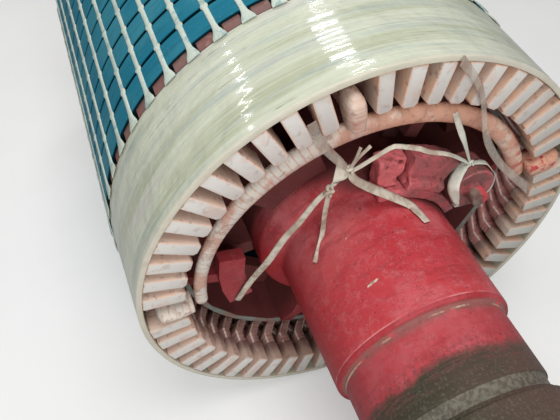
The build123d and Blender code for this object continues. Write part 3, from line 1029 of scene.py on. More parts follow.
def along_shaft(angles, stations, radius):
    """Frames for pieces that run along the shaft: centres at the radius, across round it, outwards radial.

    angles is (pieces, stations), stations is (stations,), radius a number or (stations,).
    """
    centres = round_shaft(stations[None], radius, angles)
    outwards = round_shaft(0 * angles, np.ones_like(angles), angles)
    across = round_shaft(0 * angles, np.ones_like(angles), angles + math.pi / 2)
    return centres, across, outwards


def flip_if_back(result, side):
    """Turns the faces of a piece swept towards -X, whose outline then runs the other way."""
    points, faces, uv, tags = result
    return (points, faces, uv, tags) if side > 0 else (points, faces[:, ::-1], uv[:, ::-1], tags)


def bore_radius(angles, flat):
    """Radius of the many-sided bore: flat / cos(angle to the middle of the nearest flat)."""
    step = 2 * math.pi / BORE_SIDES
    away = (angles - ARM_ANGLE + step / 2) % step - step / 2
    return flat / np.cos(away)


class ROTOR_OT_core_packets(bpy.types.Operator):
    """Builds the sheet packets: a tooth over each slot pitch, chamfered at the ducts."""

    bl_idname = "rotor.core_packets"
    bl_label = "Core packets"

    def execute(self, context):
        paint = core_paint()
        s = sizes()
        sides = s.slots * POINTS_A_PITCH
        angles = np.arange(sides) * (2 * math.pi / sides)
        away = (angles + pitch() / 2) % pitch() - pitch() / 2
        near_slot = np.abs(away) > TOOTH_SHARE * pitch()
        outer = np.where(near_slot, CORE_RADIUS - SLOT_SINK, CORE_RADIUS - TOOTH_SINK)
        inner = bore_radius(angles, BORE_RADIUS * math.cos(math.pi / BORE_SIDES))
        chamfer = PACKET_CHAMFER
        for number in range(PACKETS):
            name = f"core_packet_{number + 1:02d}"
            low, high = node_range(name)
            start, end = float(low[0]), float(high[0])
            stations = np.array([start, start, start + chamfer, end - chamfer, end, end])
            radii = np.stack([inner, outer - chamfer, outer, outer, outer - chamfer, inner], -1)
            piece = turned_ring(f"sheet_packet_{number + 1:02d}", stations, radii, angles, 25)
            settle(piece, paint, "core_paint", name)
        return {"FINISHED"}


class ROTOR_OT_slot_wedges(bpy.types.Operator):
    """Builds the wedges, with a knob at each duct and a flared foot at each end."""

    bl_idname = "rotor.slot_wedges"
    bl_label = "Slot wedges"

    def execute(self, context):
        s = sizes()
        angles = (np.arange(s.slots) + 0.5) * pitch()
        base = CORE_RADIUS * math.cos(pitch() / 2)
        packets = [node_range(f"core_packet_{n + 1:02d}") for n in range(PACKETS)]
        ducts = [(float(a[1][0]) + float(b[0][0])) / 2 for a, b in zip(packets, packets[1:])]
        offsets = np.array([-KNOB_FOOT, -KNOB_TOP, KNOB_TOP, KNOB_FOOT])
        knob_stations = (np.array(ducts)[:, None] + offsets).ravel()
        knob_widths = np.tile([s.wedge_width, s.knob_width, s.knob_width, s.wedge_width], len(ducts))
        knob_heights = np.tile([WEDGE_HEIGHT, KNOB_HEIGHT, KNOB_HEIGHT, WEDGE_HEIGHT], len(ducts))
        end_stations = np.array([PLATE_END + 0.0035, PLATE_END - 0.003, PLATE_END - 0.020, CORE_END - 0.004])
        end_widths = np.array([s.flare_width, s.flare_width * 0.95, s.wedge_width * 1.25, s.wedge_width])
        end_heights = np.array([0.0022, 0.0025, 0.0026, WEDGE_HEIGHT])
        stations = np.r_[-end_stations, knob_stations, end_stations[::-1]]
        widths = np.r_[end_widths, knob_widths, end_widths[::-1]]
        heights = np.r_[end_heights, knob_heights, end_heights[::-1]]
        outline = np.array([[-0.5, 0], [0.5, 0], [0.5, 0.35], [0.33, 1], [-0.33, 1], [-0.5, 0.35]])
        profile = outline[None] * np.stack([widths, heights], -1)[:, None]
        run = along_shaft(np.repeat(angles[:, None], len(stations), 1), stations, base)
        piece = mesh_piece("wedge_bars", *swept(*run, profile))
        settle(keep_sharp(piece, 50), wedge_laminate(), "wedge_laminate", "slot_wedges")
        return {"FINISHED"}


class ROTOR_OT_core_clamping(bpy.types.Operator):
    """Builds the end plates and the finger blocks that press on the teeth."""

    bl_idname = "rotor.core_clamping"
    bl_label = "End plates and fingers"

    def execute(self, context):
        enamel, steel = red_enamel(), finger_steel()
        s = sizes()
        for end, side in ENDS:
            plate = dressed_copy(f"clamp_plate_{end}", f"end_plate_{end}", 0.002)
            settle(plate, enamel, "red_enamel", f"end_plate_{end}")
            radii = node_radii(f"tooth_fingers_{end}")
            foot, tip = float(radii.min()), float(radii.max()) - 0.0003
            stations = side * (CORE_END + np.array([0, 0.001, FINGER_DEPTH - 0.002, FINGER_DEPTH]))
            angles = np.repeat(np.arange(s.slots)[:, None] * pitch(), 4, 1)
            shapes = []
            neck = tip - FINGER_HEAD
            for width, low, high in ((FINGER_WIDTH, foot, neck), (FINGER_HEAD_WIDTH, neck, tip)):
                outline = rounded_box(width, high - low, 0.0015)
                shrink = np.array([0.94, 1, 1, 0.9])[:, None, None]
                run = along_shaft(angles, stations, (low + high) / 2)
                shapes.append(flip_if_back(swept(*run, outline * shrink), side))
            piece = mesh_piece(f"finger_blocks_{end}", *joined(shapes))
            settle(keep_sharp(piece, 30), steel, "finger_steel", f"tooth_fingers_{end}")
        return {"FINISHED"}


class ROTOR_OT_support_rings(bpy.types.Operator):
    """Builds the rings under the overhang, with their edges chamfered."""

    bl_idname = "rotor.support_rings"
    bl_label = "Support rings"

    def execute(self, context):
        coat = ring_coat()
        angles = np.arange(RING_SIDES) * (2 * math.pi / RING_SIDES)
        edge = RING_CHAMFER
        for end in ("near", "far"):
            node = f"support_ring_{end}"
            low, high = node_range(node)
            radii = node_radii(node)
            flat = float(radii.min()) * math.cos(math.pi / BORE_SIDES)
            inner = bore_radius(angles, flat)[:, None]
            outer = np.full((RING_SIDES, 1), float(radii.max()) - 0.0005)
            start, stop = float(low[0]), float(high[0])
            near, far = start + edge, stop - edge
            stations = np.array([start, start, near, far, stop, stop, far, near])
            radii = np.concatenate(
                [inner + edge, outer - edge, outer, outer, outer - edge, inner + edge, inner, inner], 1
            )
            piece = turned_ring(f"overhang_ring_{end}", stations, radii, angles, 30)
            settle(piece, coat, "red_enamel", node)
        return {"FINISHED"}


class ROTOR_OT_spider(bpy.types.Operator):
    """Builds the spider arms and the brackets of the support rings, with eased edges."""

    bl_idname = "rotor.spider"
    bl_label = "Spider and brackets"

    def execute(self, context):
        enamel = red_enamel()
        settle(dressed_copy("arm_plates", "spider_arms", 0.003), enamel, "red_enamel", "spider_arms")
        for end in ("near", "far"):
            piece = dressed_copy(f"bracket_plates_{end}", f"ring_brackets_{end}", 0.007, 3)
            settle(piece, enamel, "red_enamel", f"ring_brackets_{end}")
        return {"FINISHED"}


class ROTOR_OT_shaft(bpy.types.Operator):
    """Turns the shaft from the frame's steps, with eased shoulders."""

    bl_idname = "rotor.shaft"
    bl_label = "Shaft"

    def execute(self, context):
        points = vertex_values(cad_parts["shaft"].data, "co")
        pairs = np.stack([points[:, 0], node_radii("shaft")], -1)
        pairs = np.unique(np.round(pairs, 5), axis=0)
        steps = []
        for station in np.unique(pairs[:, 0]):
            radii = np.sort(pairs[pairs[:, 0] == station][:, 1])
            if steps and abs(radii[-1] - steps[-1][1]) < abs(radii[0] - steps[-1][1]):
                radii = radii[::-1]
            steps += [(station, radius) for radius in dict.fromkeys((radii[0], radii[-1]))]
        steps = [(s, r) for s, r in steps if r > 0.001]
        profile = np.array([(steps[0][0], 0)] + steps + [(steps[-1][0], 0)])
        profile = eased(profile, 0.007, 5)
        dense = [profile[0][None]]
        for a, b in zip(profile, profile[1:]):
            count = max(1, int(np.linalg.norm(b - a) / 0.03))
            dense.append(a + (b - a) * np.linspace(0, 1, count + 1)[1:, None])
        shaft = lathed("turned_shaft", np.concatenate(dense), 192)
        settle(keep_sharp(shaft, 40), shaft_finish(), "shaft_steel", "shaft")
        return {"FINISHED"}


class ROTOR_OT_winding_bars(bpy.types.Operator):
    """Sweeps the taped bars of both layers from slots to clips, with ridges for the turns of tape."""

    bl_idname = "rotor.winding_bars"
    bl_label = "Winding bars"

    def execute(self, context):
        tape = bar_tape()
        s = sizes()
        skew_run = SKEW_SLOTS * pitch()
        for end, side in ENDS:
            for layer, skew in (("lower", 1), ("upper", -1)):
                node = f"{layer}_bars_{end}"
                radii = node_radii(node)
                radius = (float(radii.min()) + float(radii.max())) / 2
                exit_at = CORE_END + STRAIGHT_EXIT
                bend_at = BAR_END - STRAIGHT_END if layer == "lower" else BAR_END
                count = BAR_STATIONS[layer]
                stations = np.linspace(CORE_END, BAR_END, count)
                share = np.clip((stations - exit_at) / (bend_at - exit_at), 0, 1)
                share = share - BEND_EASE * np.sin(share * 2 * math.pi)
                turn = -skew * skew_run * share + CLIP_SHIFT * share
                angles = (np.arange(s.slots)[:, None] + 0.5) * pitch() + turn[None]
                centres, across, outwards = along_shaft(angles, side * stations, radius)
                ridge = np.where(np.arange(count) % 3 == 0, 1.0, TROUGH_SHARE)[:, None, None]
                outline = rounded_box(s.bar_width, s.bar_height, BAR_CORNER)
                shape = flip_if_back(swept(centres, across, outwards, outline * ridge), side)
                piece = mesh_piece(f"taped_{layer}_bars_{end}", *shape)
                settle(keep_sharp(piece, 60), tape, "bar_insulation", node)
        return {"FINISHED"}


class ROTOR_OT_bar_clips(bpy.types.Operator):
    """Builds the clips over the bar ends, each with its own small lean, width and setback."""

    bl_idname = "rotor.bar_clips"
    bl_label = "Bar clips"

    def execute(self, context):
        metal = clip_metal()
        s = sizes()
        taps = TAP_SLOTS.values()
        for end, side in ENDS:
            chance = np.random.default_rng(5)
            numbers = np.array([n for n in range(s.slots) if side < 0 or n not in taps])
            stations = side * np.array([BAR_END, WINDING_END - 0.0022, WINDING_END - 0.0008, WINDING_END])
            angles = np.repeat(numbers[:, None] * pitch() + CLIP_SHIFT, len(stations), 1)
            middle = (CLIP_INNER + CLIP_OUTER) / 2
            centres, across, outwards = along_shaft(angles, stations, middle)
            lean = chance.uniform(-s.clip_lean, s.clip_lean, len(numbers))[:, None, None]
            leaned_out = outwards * np.cos(lean) + across * np.sin(lean)
            leaned_across = across * np.cos(lean) - outwards * np.sin(lean)
            leaned_across = leaned_across * chance.uniform(0.93, 1.0, len(numbers))[:, None, None]
            back = chance.uniform(0, 0.002, len(numbers))[:, None, None] * np.array([side, 0, 0])
            centres = centres - back * np.array([0, 1, 1, 1])[None, :, None]
            width, half = s.clip_width / 2, (CLIP_OUTER - CLIP_INNER) / 2 - 0.0006
            cut = 0.005
            outline = np.array(
                [
                    [-width, -half + cut],
                    [-width + cut, -half],
                    [width - cut, -half],
                    [width, -half + cut],
                    [width, half - 0.001],
                    [width - 0.001, half],
                    [-width + 0.001, half],
                    [-width, half - 0.001],
                ]
            )
            inset = np.array([0, 0, 0.0006, 0.0020])[:, None, None]
            profile = outline[None] - np.sign(outline)[None] * inset
            shape = flip_if_back(swept(centres, leaned_across, leaned_out, profile), side)
            piece = mesh_piece(f"clips_{end}", *shape)
            settle(keep_sharp(piece, 30), metal, "clip_copper", f"bar_clips_{end}")
        return {"FINISHED"}


class ROTOR_OT_banding(bpy.types.Operator):
    """Winds the glass banding: a tapered shell with slight ridges at its turns."""

    bl_idname = "rotor.banding"
    bl_label = "Banding"

    def execute(self, context):
        glass = glass_banding()
        for end, side in ENDS:
            radii = node_radii(f"banding_{end}")
            back = float(radii.max()) - 0.0006
            front = back - BAND_TAPER
            across = np.linspace(PLATE_END, WINDING_END, 44)
            share = (across - PLATE_END) / (WINDING_END - PLATE_END)
            outer = back + (front - back) * share
            edge = np.array([[WINDING_END, front - 0.002], [WINDING_END, BAND_INNER + 0.001]])
            inner = np.array(
                [[WINDING_END - 0.001, BAND_INNER], [PLATE_END, BAND_INNER], [PLATE_END, back - 0.002]]
            )
            top = np.stack([across, outer], -1)
            top[0, 0] += 0.0004
            top[-1, 0] -= 0.0012
            profile = np.concatenate([top, edge, inner, top[:1]])
            profile[:, 0] *= side

            def ripple(angles, stations, radii):
                """Outer side only: 0.4 mm down, and up to 0.4 mm either way for turns and slow swells."""
                turns = 0.00010 * np.sin(stations * 2 * math.pi / BAND_TAPE_STEP)
                swell = 0.00018 * np.sin(5 * angles + stations * 31)
                swell = swell + 0.00012 * np.sin(13 * angles - stations * 47)
                return np.where(radii > BAND_INNER + 0.005, turns + swell - 0.0004, 0)

            piece = keep_sharp(lathed(f"glass_band_{end}", profile, BAND_SIDES, ripple), 35)
            settle(piece, glass, "glass_banding", f"banding_{end}")
        return {"FINISHED"}


class ROTOR_OT_star_ring(bpy.types.Operator):
    """Bends the taped star ring round the shaft and adds its three taped taps."""

    bl_idname = "rotor.star_ring"
    bl_label = "Star ring and taps"

    def execute(self, context):
        tape = resin_tape()
        low, high = node_range("star_ring")
        station = float(low[0] + high[0]) / 2
        thick = float(high[0] - low[0]) / 2
        radii = node_radii("star_ring")
        radius = (float(radii.min()) + float(radii.max())) / 2
        tall = (float(radii.max()) - float(radii.min())) / 2
        count, wrap_steps = RING_STATIONS, 6
        angles = np.linspace(tap_angle("right") - RING_LAP, tap_angle("left") + RING_LAP, count)[None]
        centres = round_shaft(np.full((1, count), station), np.full((1, count), radius), angles)
        outwards = round_shaft(0 * angles, np.ones_like(angles), angles)
        across = np.broadcast_to(-X_AXIS, centres.shape)
        turns = np.arange(16) * math.pi / 8
        circle = np.stack([np.cos(turns), np.sin(turns)], -1)
        circle = np.sign(circle) * np.abs(circle) ** 0.85 * [thick, tall]
        close = np.clip((wrap_steps - np.arange(count)) / wrap_steps, 0, 1)
        close = np.sqrt(np.clip(1 - close**2, 0.05, 1))
        ends = close * close[::-1]
        wrap = 0.99 + 0.01 * ((np.arange(count) % wrap_steps) / (wrap_steps - 1))
        thinned = np.clip((np.degrees(angles[0]) - 120) / 50, 0, 1)
        wrap = wrap * (1 - 0.3 * thinned**2 * (3 - 2 * thinned))
        shape = swept(centres, across, outwards, circle[None] * (wrap * ends)[:, None, None])
        ring = closed_and_outward(mesh_piece("taped_ring", *shape))
        settle(ring, tape, "resin_tape", "star_ring")
        for name, half_y in (("right", 0.0160), ("top", 0.0150), ("left", 0.0090)):
            low, high = node_range(f"star_tap_{name}")
            radii = node_radii(f"star_tap_{name}")
            angle = tap_angle(name)
            foot, tip = float(radii.min()), float(radii.max()) - 0.020
            reach = np.linspace(0, 1, TAP_STATIONS)
            heights = foot + (tip - foot) * reach
            out = np.array([0, math.cos(angle), math.sin(angle)])
            sideways = np.cross(X_AXIS, out)
            middle = float(low[0] + high[0]) / 2
            start = 0.85 if name == "left" else 0.62
            dome = np.sqrt(np.clip(1 - np.clip((reach - start) / (1 - start), 0, 1) ** 2, 0.02, 1))
            neck = 0.84 + 0.16 * np.clip(reach / 0.4, 0, 1)
            wrap = 1 - 0.012 * (np.arange(TAP_STATIONS) % 3 == 0)
            half_x = float(high[0] - low[0]) / 2
            turns = np.arange(20) * math.pi / 10
            square = np.stack([np.cos(turns), np.sin(turns)], -1)
            square = np.sign(square) * np.abs(square) ** 0.62
            scale = (dome * neck * wrap)[:, None]
            profile = square[None] * np.concatenate([scale * half_y, scale * half_x], 1)[:, None]
            centres = (X_AXIS * middle + out * heights[:, None])[None]
            across = np.broadcast_to(sideways, centres.shape)
            outwards = np.broadcast_to(X_AXIS, centres.shape)
            shape = swept(centres, across, outwards, profile)
            tap = closed_and_outward(mesh_piece(f"taped_tap_{name}", *shape))
            settle(tap, tape, "resin_tape", f"star_tap_{name}")
        return {"FINISHED"}


class ROTOR_OT_lead_clamp(bpy.types.Operator):
    """Builds the lead clamp on the shaft: saddle, blocks and bolt boss with worn edges, which also carry a
    painted highlight.
    """

    bl_idname = "rotor.lead_clamp"
    bl_label = "Lead clamp"

    def execute(self, context):
        coat = clamp_coat()
        # Station, radius, degrees, reach and depth of each pit
        pits = (
            (0.590, 0.226, 81.5, 0.007, 0.010),
            (0.588, 0.236, 83.5, 0.005, 0.007),
            (0.592, 0.222, 88.0, 0.004, 0.006),
            (0.590, 0.190, 79.5, 0.008, 0.010),
            (0.575, 0.240, 86.0, 0.010, 0.004),
        )
        for node, name, width, grain, depth in (
            ("lead_clamp_base", "clamp_saddle", 0.005, 0.0024, 0.0012),
            ("lead_clamp_jaws", "clamp_blocks", 0.004, 0.0020, 0.0014),
            ("lead_clamp_bolt", "clamp_boss", 0.003, 0.0018, 0.0005),
        ):
            settle(cast_copy(name, node, width, grain, depth, pits), coat, "red_enamel", node)
        return {"FINISHED"}


def smooth_path(stops, steps):
    """Points on a curve through the stops: cubic in t between two, with tangents (after - before) / 2."""
    padded = np.concatenate([2 * stops[:1] - stops[1:2], stops, 2 * stops[-1:] - stops[-2:-1]])
    t = np.linspace(0, 1, steps, endpoint=False)[:, None]
    runs = []
    for a, b, c, d in zip(padded, padded[1:], padded[2:], padded[3:]):
        bend, twist = 2 * a - 5 * b + 4 * c - d, 3 * b - a - 3 * c + d
        runs.append(0.5 * (2 * b + (c - a) * t + bend * t**2 + twist * t**3))
    return np.concatenate(runs + [stops[-1:]])


def tape_run(stops, shares, turns=(0,), hang=(1,), centre=(0, 0), thick=0.0006):
    """Swept tape through stops of station, radius and degrees round a centre of y and z.

    Shares of the tape's width, turns in radians and hang are spread evenly along it. Where hang is 0 the
    flat side lies on what it is wound round, and where it is 1 it faces the open front of the rotor.
    """
    stops = np.array(stops, dtype=float)
    middle = np.array([0, *centre])
    path = smooth_path(round_shaft(stops[:, 0], stops[:, 1], np.radians(stops[:, 2])) + middle, 10)
    share = np.linspace(0, 1, len(path))

    def spread(values):
        return np.interp(share, np.linspace(0, 1, len(values)), values)[:, None]

    along = unit(np.gradient(path, axis=0))
    wound = unit((path - middle) * [0, 1, 1])
    outward = wound * (1 - spread(hang)) + TAPE_FACING * spread(hang)
    across = unit(np.cross(along, outward))
    normal = np.cross(across, along)
    turn = spread(turns)
    wide = across * np.cos(turn) + normal * np.sin(turn)
    thin = normal * np.cos(turn) - across * np.sin(turn)
    k = np.linspace(-1, 1, 5)
    curl = thick * (1 - k**2)
    under, over = np.stack([k, curl - thick / 2], -1), np.stack([k, curl + thick / 2], -1)
    outline = np.concatenate([under, over[::-1]])
    profile = np.repeat(outline[None], len(path), 0)
    profile[:, :, :1] *= spread(shares)[:, :, None] * sizes().tape_width / 2
    return swept(path[None], wide[None], thin[None], profile)


def knot_turn(stop, reach, thick, tilt):
    """Tight turn of tape: centre + reach * (cos t * first + 0.8 * sin t * y).

    It drifts sideways by one thickness a turn.
    """
    t = np.linspace(0, 2.3 * math.pi, 22)[:, None]
    first = np.array([math.cos(tilt), 0, math.sin(tilt)])
    side = np.array([-math.sin(tilt), 0, math.cos(tilt)])
    radial = np.cos(t) * first + 0.8 * np.sin(t) * np.array([0, 1, 0])
    centre = round_shaft(stop[0], stop[1], math.radians(stop[2]))
    path = centre + reach * radial + side * thick * (t / (2 * math.pi) - 0.5)
    radial = unit(radial)
    corners = np.arange(8) * math.pi / 4
    outline = np.stack([np.cos(corners), np.sin(corners)], -1) * thick / 2
    return swept(path[None], np.broadcast_to(side, path.shape)[None], radial[None], outline)


class ROTOR_OT_lashings(bpy.types.Operator):
    """Ties the lashing tapes between the star ring, the clamp and the shaft."""

    bl_idname = "rotor.lashings"
    bl_label = "Lashing tapes"

    def execute(self, context):
        # Stops are station, radius and degrees round the shaft, or round the clamp's boss
        knot = (0.590, 0.253, 104)
        low_knot = (0.600, 0.245, 113)
        boss_knot = (0.590, 0.245, 47)
        boss = round_shaft(0, BOSS_RADIUS, BOSS_ANGLE)[1:]
        gap = BOSS_GAP
        between = [(0.592, 0.246, 108), (0.597, 0.248, 111)]
        ring_to_boss = [(0.580, 0.318, 69), (0.588, 0.296, 65), (0.594, 0.276, 60), boss_knot]
        tail = [(0.596, 0.233, 119), (0.590, 0.208, 132), (0.584, 0.199, 144), (0.576, 0.196, 164)]
        to_shaft = [(0.606, 0.213, 119), (0.601, 0.157, 131), (0.630, 0.1565, 144)]
        over_clamp = [(0.592, 0.251, 102), (0.592, 0.262, 94), (0.598, 0.278, 90), (0.598, 0.276, 87)]
        to_boss = [(0.598, 0.264, 79), (0.600, 0.257, 74), (0.600, 0.253, 64), boss_knot]
        over_boss = [(0.590, gap, 93), (0.590, gap, 113), (0.600, gap, 139), (0.612, gap, 160)]
        under_boss = [(0.600, gap, 15), (0.602, gap, -25), (0.602, gap, -70), (0.606, gap, -125)]
        parts = [
            tape_run([(0.586, 0.262, 108.4), (0.592, 0.257, 106.2), knot], [2.0, 1.2, 0.25], (0, 0.2)),
            tape_run([knot, *between, low_knot], [0.35, 0.4, 0.35, 0.4], (0, 5)),
            tape_run(
                [low_knot, *tail, (0.562, 0.215, 182), (0.550, 0.255, 198)], [0.35, 0.5, 0.6, 0.55], (0, 0.5)
            ),
            tape_run([low_knot, *to_shaft], [0.35, 0.45, 0.35], (0, 0.8), (1, 1, 0)),
            tape_run(
                [knot, (0.600, 0.228, 102), (0.611, 0.159, 76), (0.632, 0.157, 71), (0.655, 0.157, 69)],
                [0.5, 0.8, 0.95, 0.75], (0.2, 0, 0), (1, 0.7, 0, 0),
            ),
            tape_run([knot, (0.600, 0.283, 101), (0.600, 0.298, 97)], [0.2, 0.3], (0, 0.6)),
            tape_run([knot, (0.600, 0.282, 102), (0.600, 0.303, 100)], [0.2, 0.25], (0, 0.4)),
            tape_run([knot, *over_clamp, *to_boss], [0.3, 0.35, 0.45, 0.35], (0, 0.3)),
            tape_run(ring_to_boss, [0.5, 0.6, 0.3], (0, 0.4)),
            tape_run(
                [*over_boss, (0.6150, 0.034, 211), (0.606, gap, 235)],
                [0.4, 1.0, 1.15, 1.0, 0.5, 0.4], (0,), (0, 0, 0.1, 0.5, 1, 0), boss, 0.0008,
            ),
            tape_run(
                [(0.590, gap, 93), (0.590, gap, 56), (0.595, gap, 40), *under_boss],
                [0.4, 0.9, 0.8, 0.5], (0,), (0,), boss, 0.0008,
            ),
            knot_turn(knot, 0.0055, 0.0065, 0.3),
            knot_turn(knot, 0.0045, 0.0060, 1.4),
            knot_turn(low_knot, 0.0050, 0.0065, -0.6),
            knot_turn((0.6035, 0.243, 114.5), 0.0050, 0.0060, 0.5),
            knot_turn(boss_knot, 0.0045, 0.0055, 0.8),
        ]
        piece = closed_and_outward(mesh_piece("lashings", *joined(parts)))
        settle(piece, lashing_tape(), "lashing_tape", "lashing_tapes")
        down = [(0.596, 0.418, 78), (0.596, 0.383, 71), (0.596, 0.355, 66), (0.596, 0.327, 61)]
        hooked = [(0.600, 0.303, 56), (0.604, 0.286, 49), (0.604, 0.280, 35), (0.604, 0.318, 14)]
        short = [(0.594, 0.385, 109.6), (0.592, 0.345, 109.6), (0.586, 0.302, 108), (0.588, 0.268, 105.5)]
        strips = [
            tape_run([*down, *hooked], [0.8, 0.7, 0.55, 0.6, 0.8, 0.9, 0.8, 0.9], (0, 0.4, 0)),
            tape_run([*short, knot], [0.7, 0.8, 0.7, 0.2]),
        ]
        piece = closed_and_outward(mesh_piece("gauze_strips", *joined(strips)))
        settle(piece, gauze_tape(), "lashing_tape", "lashing_tapes")
        return {"FINISHED"}


def soft_lamp(name, place, target, size, power, seen, turn=0):
    """Rectangular area lamp that shines from a place at a target, seen in gloss or not.

    Its first side lies as near X as it can, then turns round the way it shines.
    """
    data = bpy.data.lights.new(name, "AREA")
    data.shape = "RECTANGLE"
    data.size, data.size_y = size
    data.energy = power
    lamp = bpy.data.objects.new(name, data)
    away = (Vector(place) - Vector(target)).normalized()
    along = (Vector((1, 0, 0)) - away * away.x).normalized()
    sides = Matrix((along, away.cross(along), away)).transposed().to_4x4()
    lamp.matrix_world = Matrix.Translation(place) @ sides @ Matrix.Rotation(turn, 4, "Z")
    lamp.visible_glossy = seen
    bpy.context.scene.collection.objects.link(lamp)


def camera_axes():
    """The camera's right, up and back, from its bearing b and its rise r.

    back = (cos r * cos b, cos r * sin b, sin r), right = (-sin b, cos b, 0) and up = back x right.
    """
    b, r = CAMERA_BEARING, CAMERA_RISE
    back = np.array([math.cos(r) * math.cos(b), math.cos(r) * math.sin(b), math.sin(r)])
    right = np.array([-math.sin(b), math.cos(b), 0])
    return right, np.cross(back, right), back


def mirrored(pixel, lean):
    """Where the camera's sight through a pixel meets the band, and the way it goes on from there.

    sight = right * (px - half the width) / f + up * (half the height - py) / f - back, f the lens in pixels.
    It meets y^2 + z^2 = R^2 at the smaller root. With v the way to the camera, n the way out of the band and
    h = n + lean[0] * X + lean[1] * (X x n) made a unit, the way on is 2 (h . v) h - v.
    """
    right, up, back = camera_axes()
    focus = LENS / SENSOR * FRAME_WIDTH
    sight = right * (pixel[0] - FRAME_WIDTH / 2) / focus + up * (FRAME_HEIGHT / 2 - pixel[1]) / focus - back
    a = sight[1:] @ sight[1:]
    b = sight[1:] @ CAMERA_PLACE[1:]
    c = CAMERA_PLACE[1:] @ CAMERA_PLACE[1:] - MIRROR_RADIUS**2
    point = CAMERA_PLACE + sight * (-b - math.sqrt(b * b - a * c)) / a
    outward = unit(point * [0, 1, 1])
    half = unit(outward + X_AXIS * lean[0] + np.cross(X_AXIS, outward) * lean[1])
    seen_from = unit(CAMERA_PLACE - point)
    return point, 2 * (half @ seen_from) * half - seen_from


def gloss_window(name, streak, lean, size, power):
    """Lamp that the band mirrors to the camera as a streak between two pixels.

    It stands WINDOW_REACH along the way on from the streak's middle and faces back. The ways on from the
    streak's two ends cross the lamp's plane in two marks, and its first side turns to the line between them.
    """
    ends = np.array(streak, dtype=float)
    point, away = mirrored(ends.mean(0), lean)
    place = point + WINDOW_REACH * away
    marks = []
    for start, way in (mirrored(end, lean) for end in ends):
        marks.append(start + way * ((place - start) @ away) / (way @ away))
    run = marks[1] - marks[0]
    along = unit(X_AXIS - away * away[0])
    turn = math.atan2(run @ np.cross(away, along), run @ along)
    soft_lamp(name, place, point, size, power, True, turn)


def studio_world():
    """White world: faint where it lights the rotor, a little stronger in gloss and nearly full where seen."""
    world = bpy.data.worlds.new("studio")
    world.use_nodes = True
    tree = world.node_tree
    ray = tree.nodes.new("ShaderNodeLightPath")
    gloss = tree.nodes.new("ShaderNodeMath")
    gloss.operation = "ADD"
    tree.links.new(ray.outputs["Is Glossy Ray"], gloss.inputs[0])
    tree.links.new(ray.outputs["Is Transmission Ray"], gloss.inputs[1])
    seen = tree.nodes.new("ShaderNodeMath")
    seen.operation = "MULTIPLY_ADD"
    seen.inputs[1].default_value = WORLD_GLOSS_SHARE
    tree.links.new(gloss.outputs[0], seen.inputs[0])
    tree.links.new(ray.outputs["Is Camera Ray"], seen.inputs[2])
    strength = tree.nodes.new("ShaderNodeMapRange")
    strength.inputs["To Min"].default_value = WORLD_LIGHT
    strength.inputs["To Max"].default_value = WORLD_SEEN
    tree.links.new(seen.outputs[0], strength.inputs["Value"])
    background = tree.nodes["Background"]
    background.inputs[0].default_value = (1, 1, 1, 1)
    tree.links.new(strength.outputs[0], background.inputs[1])
    return world


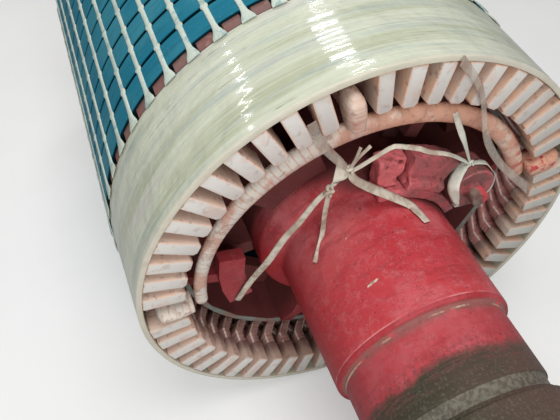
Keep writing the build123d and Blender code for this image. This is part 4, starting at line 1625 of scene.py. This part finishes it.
class ROTOR_OT_stage(bpy.types.Operator):
    """Sets the floor, the camera of the reference view and soft studio light."""

    bl_idname = "rotor.stage"
    bl_label = "Stage"

    def execute(self, context):
        top = min(float(node_range("slot_wedges")[0][2]), FLOOR_TOP)
        reach = FLOOR_REACH
        corners = [[-reach, -reach, top], [reach, -reach, top], [reach, reach, top], [-reach, reach, top]]
        floor = mesh_piece("floor", corners, [[0, 1, 2, 3]], smooth=False)
        floor.data.materials.append(floor_coat())
        camera_data = bpy.data.cameras.new("view")
        camera_data.lens = LENS
        camera_data.sensor_width = SENSOR
        camera_data.clip_end = 60
        camera = bpy.data.objects.new("view", camera_data)
        turn = Matrix(camera_axes()).transposed().to_4x4()
        camera.matrix_world = Matrix.Translation(CAMERA_PLACE) @ turn
        context.scene.collection.objects.link(camera)
        context.scene.camera = camera
        context.scene.world = studio_world()
        soft_lamp("key", (0.9, -0.15, 2.6), (0.4, 0, 0), (1.4, 1.4), 42, False)
        soft_lamp("front", (2.6, -0.5, 1.3), (0.5, 0, 0), (1.2, 1.2), 33, False)
        soft_lamp("behind", (-1.5, -1.6, 1.6), (0.3, 0, 0), (1.6, 1.6), 11, False)
        gloss_window("left_window", LEFT_STREAK, LEFT_LEAN, (0.56, 0.028), 4.4)
        gloss_window("top_window", TOP_STREAK, TOP_LEAN, (0.50, 0.07), 7)
        gloss_window("thin_window", THIN_STREAK, TOP_LEAN, (0.53, 0.02), 3)
        gloss_window("far_window", FAR_STREAK, TOP_LEAN, (0.26, 0.035), 1.6)
        gloss_window("small_window", SMALL_STREAK, TOP_LEAN, (0.14, 0.010), 0.35)
        context.scene.view_settings.view_transform = "Standard"
        return {"FINISHED"}


STEPS = (
    ROTOR_OT_core_packets,
    ROTOR_OT_slot_wedges,
    ROTOR_OT_core_clamping,
    ROTOR_OT_support_rings,
    ROTOR_OT_spider,
    ROTOR_OT_shaft,
    ROTOR_OT_winding_bars,
    ROTOR_OT_bar_clips,
    ROTOR_OT_banding,
    ROTOR_OT_star_ring,
    ROTOR_OT_lead_clamp,
    ROTOR_OT_lashings,
    ROTOR_OT_stage,
)


class ROTOR_PT_sidebar(bpy.types.Panel):
    """Lists the rotor's pieces and settings."""

    bl_idname = "ROTOR_PT_sidebar"
    bl_label = "Wound rotor"
    bl_space_type = "VIEW_3D"
    bl_region_type = "UI"
    bl_category = "Rotor"

    def draw(self, context):
        for step in STEPS:
            self.layout.operator(step.bl_idname)
        for group in (context.scene.rotor_sizes, context.scene.rotor_colours):
            for key in group.__annotations__:
                self.layout.prop(group, key)


def register():
    """Registers the classes and gives the scene its settings."""
    for kind in (RotorSizes, RotorColours, *STEPS, ROTOR_PT_sidebar):
        bpy.utils.register_class(kind)
    bpy.types.Scene.rotor_sizes = PointerProperty(type=RotorSizes)
    bpy.types.Scene.rotor_colours = PointerProperty(type=RotorColours)


def unregister():
    """Takes the settings and the classes away again."""
    del bpy.types.Scene.rotor_sizes
    del bpy.types.Scene.rotor_colours
    for kind in reversed((RotorSizes, RotorColours, *STEPS, ROTOR_PT_sidebar)):
        bpy.utils.unregister_class(kind)


def main():
    """Builds all pieces."""
    register()
    for step in STEPS:
        group, name = step.bl_idname.split(".")
        getattr(getattr(bpy.ops, group), name)()


if __name__ == "__main__":
    main()
